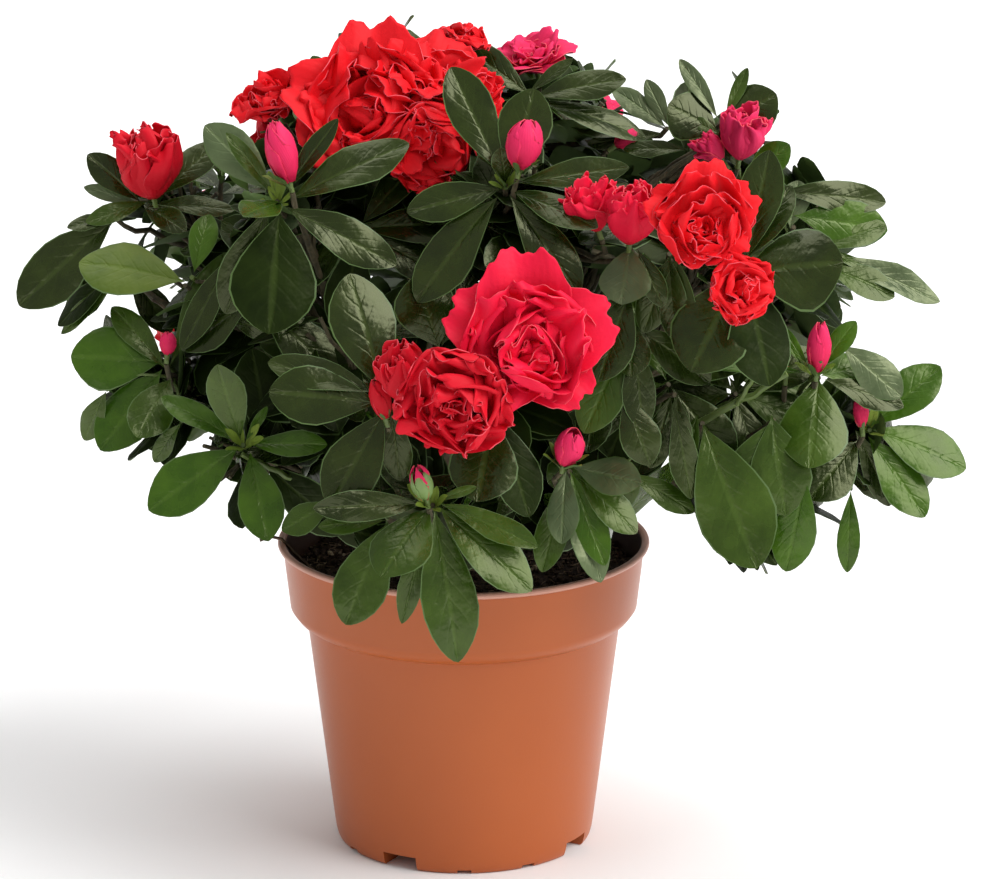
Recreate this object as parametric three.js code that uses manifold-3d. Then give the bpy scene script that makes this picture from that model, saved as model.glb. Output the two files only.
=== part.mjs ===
// Potted azalea shrub: a nursery pot of soil, a short stem that forks into boughs,
// and a crown of uneven foliage masses, one at the end of each bough.
// Millimetres, +Z up. The origin is the centre of the pot's flat underside.
import * as THREE from 'three';
import Module from 'manifold-3d';
import { mergeVertices } from 'three/addons/utils/BufferGeometryUtils.js';

const wasm = await Module();
wasm.setup();

// ---------- driving dimensions ----------
const gap = 0.35; // clearance between neighbouring solids

const pot = {
  height: 100,
  lipRadius: 60,
  lipThickness: 2.6,
  lipDepth: 2.2, // the lip is a bead that stands out from the collar
  collarTopRadius: 57.9,
  collarFootZ: 79.5, // the collar ends here and turns in to the body
  collarFootRadius: 55.8,
  bodyTopZ: 73.8,
  bodyTopRadius: 50.7,
  bodyFootZ: 5,
  bodyFootRadius: 42.2,
  ringOuter: 40.2, // foot ring
  ringInner: 33,
  padRadius: 9, // flat pad at the middle of the underside
  floorUnder: 5.2,
  wall: 1.4,
  segments: 26,
};

const notches = {
  count: 12, // round the foot ring
  wideEvery: 3,
  wideWidth: 12,
  wideHeight: 4.6,
  slimWidth: 4.5,
  slimHeight: 1.2,
  start: -120,
};

const drains = { count: 6, radius: 3.2, circle: 22, sides: 6 };

const soil = { level: 89, roughness: 1.2, trunkFlat: 14, segments: 22 };

const trunk = {
  foot: 7.4, // radius where it leaves the soil
  tip: 4.6,
  flare: 3.2,
  rootRidges: 5,
  length: 25,
  lean: new THREE.Vector2(2.5, -1.5),
  sides: 15,
  steps: 4,
};

const bough = {
  footRadius: 3.0, // boughs that rise from the trunk
  sideShare: 0.68, // a side bough's foot, as a share of its parent's thickness there
  taper: 0.5, // tip radius over foot radius
  intoMass: 3, // how far a tip runs into its mass
  sides: 5,
  steps: 4,
};

const crown = {
  floor: pot.height + 3, // masses above the pot end over its lip
  hangWall: pot.lipRadius + 2, // hanging masses keep outside it
  inward: 1.35, // masses are longer towards the crown's middle
  unevenness: 0.09,
  lumps: 2.6,
  detail: 2,
};

// Each mass: bearing in degrees (0 is +X, 90 is +Y), reach from the pot's axis, height, and half
// sizes outward, sideways and upward. Its bough leaves the trunk, or another mass's bough part way.
const masses = [
  { name: 'top', bearing: -136, reach: 29, height: 244, size: [33, 33, 29], from: 'trunk', at: 1.0 },
  { name: 'top_right', bearing: 33, reach: 38, height: 239, size: [28, 34, 18], from: 'top', at: 0.75 },
  { name: 'upper_centre', bearing: -71, reach: 61, height: 227, size: [28, 35, 25], from: 'top', at: 0.55 },
  { name: 'upper_left', bearing: -137, reach: 76, height: 219, size: [26, 31, 28], from: 'front_left', at: 0.6 },
  { name: 'left_mid', bearing: -158, reach: 86, height: 192, size: [27, 30, 26], from: 'trunk', at: 0.85 },
  { name: 'left_high', bearing: 178, reach: 93, height: 212, size: [27, 23, 21], from: 'left_mid', at: 0.6 },
  { name: 'left_far', bearing: -172, reach: 118, height: 194, size: [28, 26, 19], from: 'left_mid', at: 0.75 },
  { name: 'left_low', bearing: -162, reach: 101, height: 160, size: [29, 27, 22], from: 'trunk', at: 0.6 },
  { name: 'left_foot', bearing: -139, reach: 90, height: 146, size: [29, 25, 21], from: 'trunk', at: 0.5 },
  { name: 'front_left', bearing: -115, reach: 87, height: 177, size: [26, 30, 32], from: 'trunk', at: 0.8 },
  { name: 'front_centre', bearing: -83, reach: 94, height: 184, size: [28, 36, 32], from: 'trunk', at: 0.95 },
  { name: 'front_low', bearing: -99, reach: 86, height: 124, size: [23, 31, 34], from: 'front_centre', at: 0.4, hangs: true },
  { name: 'front_right_low', bearing: -60, reach: 78, height: 130, size: [23, 26, 28], from: 'right_inner', at: 0.35 },
  { name: 'right_inner', bearing: -44, reach: 91, height: 172, size: [26, 30, 30], from: 'trunk', at: 0.75 },
  { name: 'right_front', bearing: -41, reach: 108, height: 217, size: [28, 37, 31], from: 'right_inner', at: 0.65 },
  { name: 'right_top', bearing: -5, reach: 80, height: 232, size: [30, 28, 22], from: 'top', at: 0.45 },
  { name: 'right_far', bearing: 1, reach: 122, height: 196, size: [30, 32, 22], from: 'trunk', at: 0.9 },
  { name: 'right_branch', bearing: -14, reach: 132, height: 143, size: [33, 30, 25], from: 'trunk', at: 0.55, hangs: true },
  { name: 'right_low', bearing: -29, reach: 100, height: 131, size: [27, 28, 31], from: 'right_branch', at: 0.45, hangs: true },
  { name: 'back_left_top', bearing: 128, reach: 55, height: 224, size: [31, 34, 25], from: 'back_left', at: 0.6 },
  { name: 'back_right_top', bearing: 60, reach: 74, height: 223, size: [31, 35, 24], from: 'back_right', at: 0.6 },
  { name: 'back_left', bearing: 143, reach: 96, height: 189, size: [29, 35, 28], from: 'trunk', at: 0.85 },
  { name: 'back_centre', bearing: 100, reach: 97, height: 186, size: [28, 34, 30], from: 'trunk', at: 0.95 },
  { name: 'back_right', bearing: 58, reach: 103, height: 187, size: [27, 32, 29], from: 'trunk', at: 0.7 },
  { name: 'back_right_far', bearing: 24, reach: 116, height: 172, size: [28, 32, 29], from: 'back_right', at: 0.4 },
  { name: 'back_left_low', bearing: 158, reach: 88, height: 146, size: [28, 35, 25], from: 'back_left', at: 0.35 },
  { name: 'back_centre_low', bearing: 116, reach: 84, height: 137, size: [25, 34, 27], from: 'back_centre', at: 0.35 },
  { name: 'back_right_low', bearing: 72, reach: 88, height: 137, size: [25, 34, 27], from: 'back_right', at: 0.3 },
];

// ---------- materials ----------
const finish = {
  pot: new THREE.MeshStandardMaterial({ color: 0xb56a42, roughness: 0.42, metalness: 0 }),
  soil: new THREE.MeshStandardMaterial({ color: 0x2b1c14, roughness: 0.95, metalness: 0 }),
  bark: new THREE.MeshStandardMaterial({ color: 0x5d4a33, roughness: 0.85, metalness: 0 }),
  shoot: new THREE.MeshStandardMaterial({ color: 0x6f7d35, roughness: 0.7, metalness: 0 }),
  foliage: new THREE.MeshStandardMaterial({ color: 0x24401f, roughness: 0.55, metalness: 0 }),
};

// ---------- helpers ----------
const up = new THREE.Vector3(0, 0, 1);
const radians = THREE.MathUtils.degToRad;

function bearingDirection(degrees) {
  return new THREE.Vector3(Math.cos(radians(degrees)), Math.sin(radians(degrees)), 0);
}

function toSolid(geometry) {
  const bare = geometry.clone();
  bare.deleteAttribute('normal');
  bare.deleteAttribute('uv');
  const merged = mergeVertices(bare, 1e-4);
  return new wasm.Manifold(new wasm.Mesh({
    numProp: 3,
    vertProperties: new Float32Array(merged.attributes.position.array),
    triVerts: new Uint32Array(merged.index.array),
  }));
}

function toGeometry(solid) {
  const mesh = solid.getMesh();
  const geometry = new THREE.BufferGeometry();
  geometry.setAttribute('position', new THREE.BufferAttribute(mesh.vertProperties, 3));
  geometry.setIndex(new THREE.BufferAttribute(mesh.triVerts, 1));
  geometry.computeVertexNormals();
  return geometry;
}

function lathe(profile, segments) {
  const points = profile.map(([radius, z]) => new THREE.Vector2(radius, z));
  return new THREE.LatheGeometry(points, segments).rotateX(Math.PI / 2); // its axis is +Y before
}

// A limb of round section along a curve, its radius given for each fraction of its length and
// each angle round it, closed by a flat fan at both ends.
function limbGeometry(curve, radiusAt, sides, steps) {
  const frames = curve.computeFrenetFrames(steps, false);
  const positions = [];
  const index = [];
  for (let i = 0; i <= steps; i++) {
    const centre = curve.getPointAt(i / steps);
    for (let j = 0; j < sides; j++) {
      const angle = (j / sides) * 2 * Math.PI;
      const radius = radiusAt(i / steps, angle);
      const spoke = frames.normals[i].clone().multiplyScalar(Math.cos(angle) * radius);
      spoke.addScaledVector(frames.binormals[i], Math.sin(angle) * radius).add(centre);
      positions.push(...spoke.toArray());
    }
  }
  for (let i = 0; i < steps; i++) {
    for (let j = 0; j < sides; j++) {
      const next = (j + 1) % sides;
      const [a, b] = [i * sides + j, i * sides + next];
      const [c, d] = [a + sides, b + sides];
      index.push(a, b, c, b, d, c);
    }
  }
  const last = steps * sides;
  for (let j = 1; j < sides - 1; j++) {
    index.push(0, j + 1, j, last, last + j, last + j + 1);
  }
  const geometry = new THREE.BufferGeometry();
  geometry.setAttribute('position', new THREE.Float32BufferAttribute(positions, 3));
  geometry.setIndex(index);
  return geometry;
}

// ---------- pot ----------
function potSolid() {
  const p = pot;
  const bodySlope = (p.bodyTopRadius - p.bodyFootRadius) / (p.bodyTopZ - p.bodyFootZ);
  const lipFootZ = p.height - p.lipDepth;
  const outer = [
    [0, 0], [p.padRadius, 0], [p.padRadius + 1, p.floorUnder], [p.ringInner - 1, p.floorUnder],
    [p.ringInner, 0], [p.ringOuter, 0], [p.bodyFootRadius - 0.5, 1.8], [p.bodyFootRadius, p.bodyFootZ],
    [p.bodyTopRadius, p.bodyTopZ],
    [p.collarFootRadius - 2.6, p.bodyTopZ + 1.4],
    [p.collarFootRadius - 0.6, p.bodyTopZ + 3.2],
    [p.collarFootRadius, p.collarFootZ],
    [p.collarTopRadius, lipFootZ],
    [p.lipRadius - 0.3, lipFootZ + 0.4],
    [p.lipRadius, p.height - 1],
    [p.lipRadius - 0.7, p.height],
    [p.lipRadius - p.lipThickness, p.height],
  ];
  const innerFloor = p.floorUnder + p.wall;
  const inner = [
    [p.collarTopRadius - p.wall, lipFootZ - 0.4],
    [p.collarFootRadius - p.wall, p.collarFootZ + 0.5],
    [p.bodyTopRadius - p.wall, p.bodyTopZ + 1.2],
    [p.bodyFootRadius - p.wall + bodySlope * innerFloor, innerFloor + 2],
    [p.bodyFootRadius - p.wall - 2, innerFloor],
    [0, innerFloor],
  ];
  let solid = toSolid(lathe([...outer, ...inner], p.segments));
  for (let i = 0; i < notches.count; i++) {
    const wide = i % notches.wideEvery === 0;
    const width = wide ? notches.wideWidth : notches.slimWidth;
    const height = wide ? notches.wideHeight : notches.slimHeight;
    const length = p.bodyFootRadius - p.ringInner + 4;
    const cutter = new THREE.BoxGeometry(length, width, 2 * height);
    cutter.translate(p.ringInner + length / 2 - 2, 0, 0);
    cutter.rotateZ(radians(notches.start + (i * 360) / notches.count));
    solid = solid.subtract(toSolid(cutter));
  }
  for (let i = 0; i < drains.count; i++) {
    const hole = new THREE.CylinderGeometry(drains.radius, drains.radius, 4 * p.wall, drains.sides);
    hole.rotateX(Math.PI / 2).translate(drains.circle, 0, p.floorUnder + p.wall / 2);
    hole.rotateZ(radians((i * 360) / drains.count));
    solid = solid.subtract(toSolid(hole));
  }
  return solid;
}

// ---------- soil ----------
function soilGeometry() {
  const p = pot;
  const inset = p.wall + gap;
  const bodySlope = (p.bodyTopRadius - p.bodyFootRadius) / (p.bodyTopZ - p.bodyFootZ);
  const collarHeight = p.height - p.lipDepth - p.collarFootZ;
  const collarSlope = (p.collarTopRadius - p.collarFootRadius) / collarHeight;
  const bottom = p.floorUnder + p.wall + gap;
  const topRadius = p.collarFootRadius - inset - 0.4 + collarSlope * (soil.level - p.collarFootZ - 0.5);
  const rings = [0.85, 0.6, 0.38, 0.18];
  const profile = [
    [0, bottom], [p.bodyFootRadius - inset - 2.2, bottom],
    [p.bodyFootRadius - inset - 0.2 + bodySlope * bottom, bottom + 2.2],
    [p.bodyTopRadius - inset - 0.2, p.bodyTopZ + 1.4],
    [p.collarFootRadius - inset - 0.4, p.collarFootZ + 1.2],
    [topRadius, soil.level],
    ...rings.map((share) => [topRadius * share, soil.level]),
    [0, soil.level],
  ];
  const geometry = lathe(profile, soil.segments);
  const position = geometry.attributes.position;
  for (let i = 0; i < position.count; i++) {
    const [x, y, z] = [position.getX(i), position.getY(i), position.getZ(i)];
    const outside = Math.hypot(x, y) - soil.trunkFlat;
    if (z > soil.level - 0.01 && outside > 0) {
      const swell = Math.sin(0.21 * x + 1.3) * Math.cos(0.17 * y - 0.6) + 0.5 * Math.sin(0.4 * (x + y));
      position.setZ(i, z + swell * soil.roughness * Math.min(1, outside / 10));
    }
  }
  return geometry;
}

// ---------- trunk ----------
const trunkFoot = new THREE.Vector3(0, 0, soil.level + gap);
const trunkCurve = new THREE.CatmullRomCurve3([
  trunkFoot,
  trunkFoot.clone().addScaledVector(up, trunk.length * 0.3),
  new THREE.Vector3(trunk.lean.x * 0.5, trunk.lean.y * 0.5, trunkFoot.z + trunk.length * 0.65),
  new THREE.Vector3(trunk.lean.x, trunk.lean.y, trunkFoot.z + trunk.length),
]);

function trunkRadius(along, angle, extra = 0) {
  const fade = Math.exp(-5 * along);
  const ridge = 1 + 0.16 * fade * Math.cos(trunk.rootRidges * angle);
  const crest = along > 0.99 ? 0.55 : 1; // rounded off at the fork
  return (THREE.MathUtils.lerp(trunk.foot, trunk.tip, along) + trunk.flare * fade) * ridge * crest + extra;
}

// ---------- boughs ----------
const centreOf = (mass) => bearingDirection(mass.bearing).multiplyScalar(mass.reach).setZ(mass.height);

// A bough sets off between the way its parent runs and the way to its mass, then swings up to it.
function boughCurve(mass, parentCurve, isMain) {
  const start = parentCurve.getPointAt(mass.at);
  const target = centreOf(mass);
  const way = target.clone().sub(start);
  const span = way.length();
  const setOff = isMain
    ? bearingDirection(mass.bearing).multiplyScalar(0.8).addScaledVector(up, 0.45 + way.z / span / 2)
    : parentCurve.getTangentAt(mass.at).multiplyScalar(0.5).addScaledVector(way, 1 / span);
  const arrival = way.clone().normalize().addScaledVector(up, isMain ? 0.1 : 0.25).normalize();
  const inner = massReachTowards(mass, start.clone().sub(target).normalize());
  const end = target.clone().addScaledVector(way, -(inner - bough.intoMass) / span);
  const bend = start.distanceTo(end) / 3;
  return new THREE.CubicBezierCurve3(
    start,
    start.clone().addScaledVector(setOff.normalize(), bend),
    end.clone().addScaledVector(arrival, -bend),
    end,
  );
}

const boughRadius = (foot, along) => foot * THREE.MathUtils.lerp(1, bough.taper, along);

function boughGeometry({ curve, foot }, extra = 0) {
  const radiusAt = (along) => boughRadius(foot, along) + extra;
  return limbGeometry(curve, radiusAt, bough.sides, bough.steps);
}

// ---------- foliage masses ----------
function ovalRadius(mass, direction) {
  const out = bearingDirection(mass.bearing);
  const side = up.clone().cross(out);
  const [a, b, c] = mass.size;
  const outward = direction.dot(out);
  const length = outward > 0 ? a : a * crown.inward;
  return 1 / Math.hypot(outward / length, direction.dot(side) / b, direction.z / c);
}

// Distance from a mass's centre to its surface: an uneven oval, held back by a plane between it
// and every other mass, and by the pot's lip.
function massReachTowards(mass, direction) {
  const centre = centreOf(mass);
  const k = masses.indexOf(mass);
  const { x, y, z } = direction;
  const n = crown.lumps;
  const lump = Math.sin(n * x + 2.1 * k) + Math.sin(n * y + 1.3 * k) * Math.cos(n * z + 0.7 * k)
    + 0.6 * Math.sin(2 * n * (x - y) + k);
  let reach = ovalRadius(mass, direction) * (1 + crown.unevenness * lump);
  const holdBack = (normal, distance) => {
    const facing = direction.dot(normal);
    if (facing > 1e-3) {
      reach = Math.min(reach, distance / facing);
    }
  };
  for (const other of masses) {
    if (other !== mass) {
      const way = centreOf(other).sub(centre);
      const span = way.length();
      way.normalize();
      const own = ovalRadius(mass, way);
      const theirs = ovalRadius(other, way.clone().negate());
      holdBack(way, (span * own) / (own + theirs) - gap);
    }
  }
  if (mass.hangs) {
    holdBack(bearingDirection(mass.bearing).negate(), mass.reach - crown.hangWall);
  } else {
    holdBack(up.clone().negate(), mass.height - crown.floor);
  }
  return reach;
}

function massGeometry(mass) {
  const geometry = new THREE.IcosahedronGeometry(1, crown.detail);
  const centre = centreOf(mass);
  const position = geometry.attributes.position;
  const direction = new THREE.Vector3();
  for (let i = 0; i < position.count; i++) {
    direction.fromBufferAttribute(position, i).normalize();
    const point = direction.clone().multiplyScalar(massReachTowards(mass, direction)).add(centre);
    position.setXYZ(i, point.x, point.y, point.z);
  }
  return geometry;
}

// ---------- assembly ----------
const azalea = new THREE.Group();

function place(name, geometry, material) {
  const mesh = new THREE.Mesh(geometry, material);
  mesh.name = name;
  azalea.add(mesh);
}

function cutClear(geometry, solids) {
  return solids.reduce((rest, solid) => rest.subtract(solid), toSolid(geometry));
}

const trunkLimb = (extra) => {
  const radiusAt = (along, angle) => trunkRadius(along, angle, extra);
  return limbGeometry(trunkCurve, radiusAt, trunk.sides, trunk.steps);
};

place('pot', toGeometry(potSolid()), finish.pot);
place('soil', soilGeometry(), finish.soil);
place('trunk', trunkLimb(0), finish.bark);

// Main boughs come before their side boughs, and each is cut clear of the wood that is there already.
const limbs = { trunk: { curve: trunkCurve } };
const wood = [toSolid(trunkLimb(gap))];
const waiting = [...masses].sort((a, b) => (a.from !== 'trunk') - (b.from !== 'trunk'));
for (const mass of waiting) {
  const isMain = mass.from === 'trunk';
  const parent = limbs[mass.from];
  const foot = isMain ? bough.footRadius : bough.sideShare * boughRadius(parent.foot, mass.at);
  const limb = { curve: boughCurve(mass, parent.curve, isMain), foot };
  limbs[mass.name] = limb;
  const solid = cutClear(boughGeometry(limb), wood);
  place(`bough_${mass.name}`, toGeometry(solid), isMain ? finish.bark : finish.shoot);
  wood.push(toSolid(boughGeometry(limb, gap)));
}

for (const mass of masses) {
  place(`foliage_${mass.name}`, toGeometry(cutClear(massGeometry(mass), wood)), finish.foliage);
}

export default azalea;
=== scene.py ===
import math
import bpy
import numpy as np
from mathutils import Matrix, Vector


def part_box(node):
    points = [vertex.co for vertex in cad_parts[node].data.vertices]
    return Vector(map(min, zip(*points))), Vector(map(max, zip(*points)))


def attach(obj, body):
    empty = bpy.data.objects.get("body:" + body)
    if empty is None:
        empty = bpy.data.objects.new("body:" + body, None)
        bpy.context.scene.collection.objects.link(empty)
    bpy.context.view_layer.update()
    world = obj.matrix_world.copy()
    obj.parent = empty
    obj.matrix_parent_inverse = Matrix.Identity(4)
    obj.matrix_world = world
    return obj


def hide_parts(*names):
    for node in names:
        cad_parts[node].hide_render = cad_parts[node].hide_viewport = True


# A potted azalea: nursery pot, peat, stem and boughs, then leafy shoots with double flowers and buds.
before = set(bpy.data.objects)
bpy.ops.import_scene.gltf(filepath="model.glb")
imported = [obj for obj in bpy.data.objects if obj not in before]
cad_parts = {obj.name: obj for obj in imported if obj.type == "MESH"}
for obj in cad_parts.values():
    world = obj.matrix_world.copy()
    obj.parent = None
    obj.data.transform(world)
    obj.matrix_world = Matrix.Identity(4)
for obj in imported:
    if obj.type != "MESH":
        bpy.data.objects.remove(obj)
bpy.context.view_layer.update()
scene = bpy.context.scene
dice = np.random.default_rng(12)
mm = 0.001
zAxis = np.array([0.0, 0.0, 1.0])
massNames = [name[len("foliage_"):] for name in sorted(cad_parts) if name.startswith("foliage_")]

# back and height in mm, tilt and turn in degrees
view = {"back": 1600, "height": 596, "tilt": 16.14, "turn": 0.42, "lens": 186.8}
bpy.ops.object.camera_add(
    location=(0, -view["back"] * mm, view["height"] * mm),
    rotation=(math.radians(90 - view["tilt"]), 0, -math.radians(view["turn"])),
)
camera = bpy.context.object
camera.data.lens = view["lens"]
camera.data.clip_end = 20
scene.camera = camera
scene.view_settings.view_transform = "Standard"

# suns: azimuth and height they shine from, strength, and how wide (softer) they are
studio = {"sky": 0.45, "key": (-24, 44, 3.1, 50), "top": (100, 72, 1.2, 50), "floor": 0.97}
world = bpy.data.worlds.new("studio")
world.use_nodes = True
world.node_tree.nodes["Background"].inputs["Color"].default_value = (1, 1, 1, 1)
world.node_tree.nodes["Background"].inputs["Strength"].default_value = studio["sky"]
scene.world = world


def unit(vector):
    vector = np.asarray(vector, float)
    return vector / max(np.linalg.norm(vector), 1e-9)


def heading(azimuth, elevation):
    # azimuth 0 is +X and 90 is +Y
    a, e = math.radians(azimuth), math.radians(elevation)
    return np.array([math.cos(a) * math.cos(e), math.sin(a) * math.cos(e), math.sin(e)])


def softSun(name):
    azimuth, height, strength, width = studio[name]
    place = Vector(heading(azimuth, height))
    bpy.ops.object.light_add(type="SUN", location=place)
    lamp = bpy.context.object
    lamp.name = name + "Light"
    lamp.rotation_euler = place.to_track_quat("Z", "Y").to_euler()
    lamp.data.energy = strength
    lamp.data.angle = math.radians(width)


softSun("key")
softSun("top")
print("camera and light set")


class Wire:
    # a socket that takes part in sums; each sum adds its Math node
    def __init__(self, finish, socket):
        self.finish = finish
        self.socket = socket

    def sum(self, operation, *terms):
        return self.finish.node("ShaderNodeMath", {"operation": operation}, terms)

    def __add__(self, other):
        return self.sum("ADD", self, other)

    def __sub__(self, other):
        return self.sum("SUBTRACT", self, other)

    def __rsub__(self, other):
        return self.sum("SUBTRACT", other, self)

    def __mul__(self, other):
        return self.sum("MULTIPLY", self, other)

    def __pow__(self, other):
        return self.sum("POWER", self, other)

    def __abs__(self):
        return self.sum("ABSOLUTE", self)


class Finish:
    # a material on its way: fixed values go straight on the shader's own sockets
    def __init__(self, name, roughness, shine=0.5, colour=None):
        self.material = bpy.data.materials.new(name)
        self.material.use_nodes = True
        self.tree = self.material.node_tree
        self.shader = self.tree.nodes["Principled BSDF"]
        self.fix("Roughness", roughness)
        self.fix("Specular IOR Level", shine)
        if colour:
            self.fix("Base Color", (*colour, 1))

    def fix(self, socket, value):
        self.shader.inputs[socket].default_value = value

    def feed(self, socket, wire):
        self.tree.links.new(wire.socket, self.shader.inputs[socket])

    def node(self, kind, settings=None, inputs=None, output=0):
        made = self.tree.nodes.new(kind)
        for key, value in (settings or {}).items():
            setattr(made, key, value)
        pairs = inputs.items() if isinstance(inputs, dict) else enumerate(inputs or [])
        for key, value in pairs:
            if isinstance(value, Wire):
                self.tree.links.new(value.socket, made.inputs[key])
            else:
                made.inputs[key].default_value = value
        return Wire(self, made.outputs[output])

    def place(self):
        return self.node("ShaderNodeTexCoord", output=3)

    def sheet(self):
        # how far across and how far along a leaf or a petal, each from 0 to 1
        across = self.node("ShaderNodeSeparateXYZ", None, [self.node("ShaderNodeUVMap")])
        return across, Wire(self, across.socket.node.outputs[1])

    def noise(self, size, detail, rough=0.5, place=None):
        inputs = {"Scale": 1 / size, "Detail": detail, "Roughness": rough}
        inputs["Vector"] = place or self.place()
        return self.node("ShaderNodeTexNoise", None, inputs)

    def ramp(self, wire, stops):
        made = self.node("ShaderNodeValToRGB", None, [wire])
        elements = made.socket.node.color_ramp.elements
        while len(elements) < len(stops):
            elements.new(0.5)
        for element, (place, colour) in zip(elements, stops):
            element.position = place
            element.color = (*colour, 1)
        return made

    def mix(self, factor, first, second):
        # sockets 0, 6 and 7 are the factor and the two colours of a colour Mix
        first = first if isinstance(first, Wire) else (*first, 1)
        second = second if isinstance(second, Wire) else (*second, 1)
        return self.node("ShaderNodeMix", {"data_type": "RGBA"}, {0: factor, 6: first, 7: second}, 2)

    def bump(self, height, distance, strength):
        inputs = {"Height": height, "Distance": distance, "Strength": strength}
        self.feed("Normal", self.node("ShaderNodeBump", None, inputs))


def plasticFinish(name, light, dark, roughness):
    finish = Finish(name, roughness, 0.35)
    cloud = finish.noise(0.03, 2)
    finish.feed("Base Color", finish.mix(cloud, dark, light))
    grain = finish.noise(0.0006, 2)
    finish.feed("Roughness", grain * 0.12 + (roughness - 0.06))
    finish.bump(grain, 0.00005, 0.35)
    return finish.material


def peatFinish(name, *colours):
    finish = Finish(name, 0.9, 0.25)
    fleck = finish.noise(0.0016, 4, 0.65)
    finish.feed("Base Color", finish.ramp(fleck, list(zip((0.3, 0.5, 0.72), colours))))
    finish.bump(fleck, 0.0005, 0.8)
    return finish.material


def barkFinish(name, size, *colours):
    finish = Finish(name, 0.8)
    stretch = finish.node("ShaderNodeMapping", None, {"Vector": finish.place(), "Scale": (1, 1, 0.35)})
    streak = finish.noise(size, 4, 0.6, stretch)
    finish.feed("Base Color", finish.ramp(streak, list(zip((0.3, 0.52, 0.75), colours))))
    finish.bump(streak, 0.0004, 0.7)
    return finish.material


def leafFinish(name, dark, light, roughness, shine=0.3):
    # fine veins slant away from the rib, sunk a little, and the blade puckers between them
    finish = Finish(name, roughness, shine)
    finish.fix("Specular Tint", (0.95, 1, 0.6, 1))
    across, along = finish.sheet()
    aside = abs(across - 0.5) * 2
    phase = (along * 7 - aside * 2.2) * (2 * math.pi)
    ridge = phase.sum("COSINE", phase)
    line = (ridge * 0.5 + 0.5) ** 10 * (1 - aside) ** 0.5
    rib = aside.sum("SMOOTH_MIN", 1, (aside * 9) ** 2, 0.2)
    mottle = finish.noise(0.011, 3)
    skin = finish.ramp(mottle, [(0.32, dark), (0.7, light)])
    paler = tuple(0.7 * a + 0.3 * b for a, b in zip(light, (0.20, 0.30, 0.07)))
    finish.feed("Base Color", finish.mix((line * 0.1 + (1 - rib) * 0.7) * 0.35, skin, paler))
    pucker = finish.noise(0.004, 2)
    finish.feed("Roughness", mottle * 0.2 + (roughness - 0.1))
    finish.bump(pucker * 0.9 - line * (1 - aside) * 0.2 + rib * 0.25, 0.0008, 0.55)
    return finish.material


def plainFinish(name, dark, light, roughness):
    finish = Finish(name, roughness)
    mottle = finish.noise(0.003, 3)
    finish.feed("Base Color", finish.mix(mottle, dark, light))
    finish.bump(mottle, 0.0002, 0.4)
    return finish.material


def petalFinish(name, heart, blade):
    # deeper at the heart, with faint veins that fan out along the petal
    finish = Finish(name, 0.55, 0.16)
    across, along = finish.sheet()
    cloud = finish.noise(0.009, 2)
    finish.feed("Base Color", finish.mix(along * 0.75 + cloud * 0.35, heart, blade))
    fan = cloud.sum("SINE", (across + cloud * 0.06) * 85)
    finish.bump(fan * 0.1 + finish.noise(0.0018, 2), 0.0003, 0.5)
    return finish.material


def leaveEditMode():
    if bpy.context.object and bpy.context.object.mode != "OBJECT":
        bpy.ops.object.mode_set(mode="OBJECT")


def clearSelection():
    leaveEditMode()
    bpy.ops.object.select_all(action="DESELECT")


def start(operator, **settings):
    # adds a primitive and leaves it alone selected, in edit mode
    clearSelection()
    operator(**settings)
    piece = bpy.context.object
    bpy.ops.object.transform_apply(location=True, rotation=True, scale=True)
    bpy.ops.object.mode_set(mode="EDIT")
    bpy.ops.mesh.select_all(action="SELECT")
    return piece


def pick(*pieces):
    # these alone are selected, and the first is the active one
    clearSelection()
    for piece in pieces:
        piece.select_set(True)
    bpy.context.view_layer.objects.active = pieces[0]


def finishPiece(piece, name, materials, smooth=35):
    pick(piece)
    bpy.ops.object.transform_apply(location=True, rotation=True, scale=True)
    piece.name = name
    piece.data.name = name
    for material in materials[len(piece.data.materials):]:
        piece.data.materials.append(material)
    bpy.ops.object.shade_smooth_by_angle(angle=math.radians(smooth))
    return piece


def applyModifier(piece, kind, **settings):
    pick(piece)
    modifier = piece.modifiers.new(kind.lower(), kind)
    for key, value in settings.items():
        setattr(modifier, key, value)
    bpy.ops.object.modifier_apply(modifier=modifier.name)


def carve(piece, cutter):
    applyModifier(piece, "BOOLEAN", operation="DIFFERENCE", object=cutter)
    bpy.data.objects.remove(cutter)


def ringUp(name, profile, sides):
    # one ring of edges, extruded and resized from point to point of a (radius, height) profile
    radius, height = profile[0]
    piece = start(
        bpy.ops.mesh.primitive_circle_add, vertices=sides, radius=radius, location=(0, 0, height)
    )
    for wider, higher in profile[1:]:
        bpy.ops.mesh.extrude_region_move(TRANSFORM_OT_translate={"value": (0, 0, higher - height)})
        share = wider / radius
        bpy.ops.transform.resize(value=(share, share, 1), center_override=(0, 0, higher))
        radius, height = wider, higher
    bpy.ops.mesh.select_all(action="SELECT")
    bpy.ops.mesh.fill_holes(sides=0)
    bpy.ops.mesh.select_all(action="SELECT")
    bpy.ops.mesh.normals_make_consistent(inside=False)
    piece.name = name
    return piece


def noiseTexture(name, size, depth=2):
    texture = bpy.data.textures.new(name, "CLOUDS")
    texture.noise_scale = size
    texture.noise_depth = depth
    return texture


def takeBlank(piece):
    # a small model that is copied many times: its points, corners, face sizes, slots and UVs
    clearSelection()
    mesh = piece.data
    layer = mesh.uv_layers.active
    blank = {
        "points": np.array([v.co for v in mesh.vertices]),
        "corners": np.array([loop.vertex_index for loop in mesh.loops]),
        "sides": np.array([p.loop_total for p in mesh.polygons]),
        "slots": np.array([p.material_index for p in mesh.polygons]),
        "uv": np.array([d.uv for d in layer.data]),
    }
    bpy.data.objects.remove(piece)
    return blank


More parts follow.
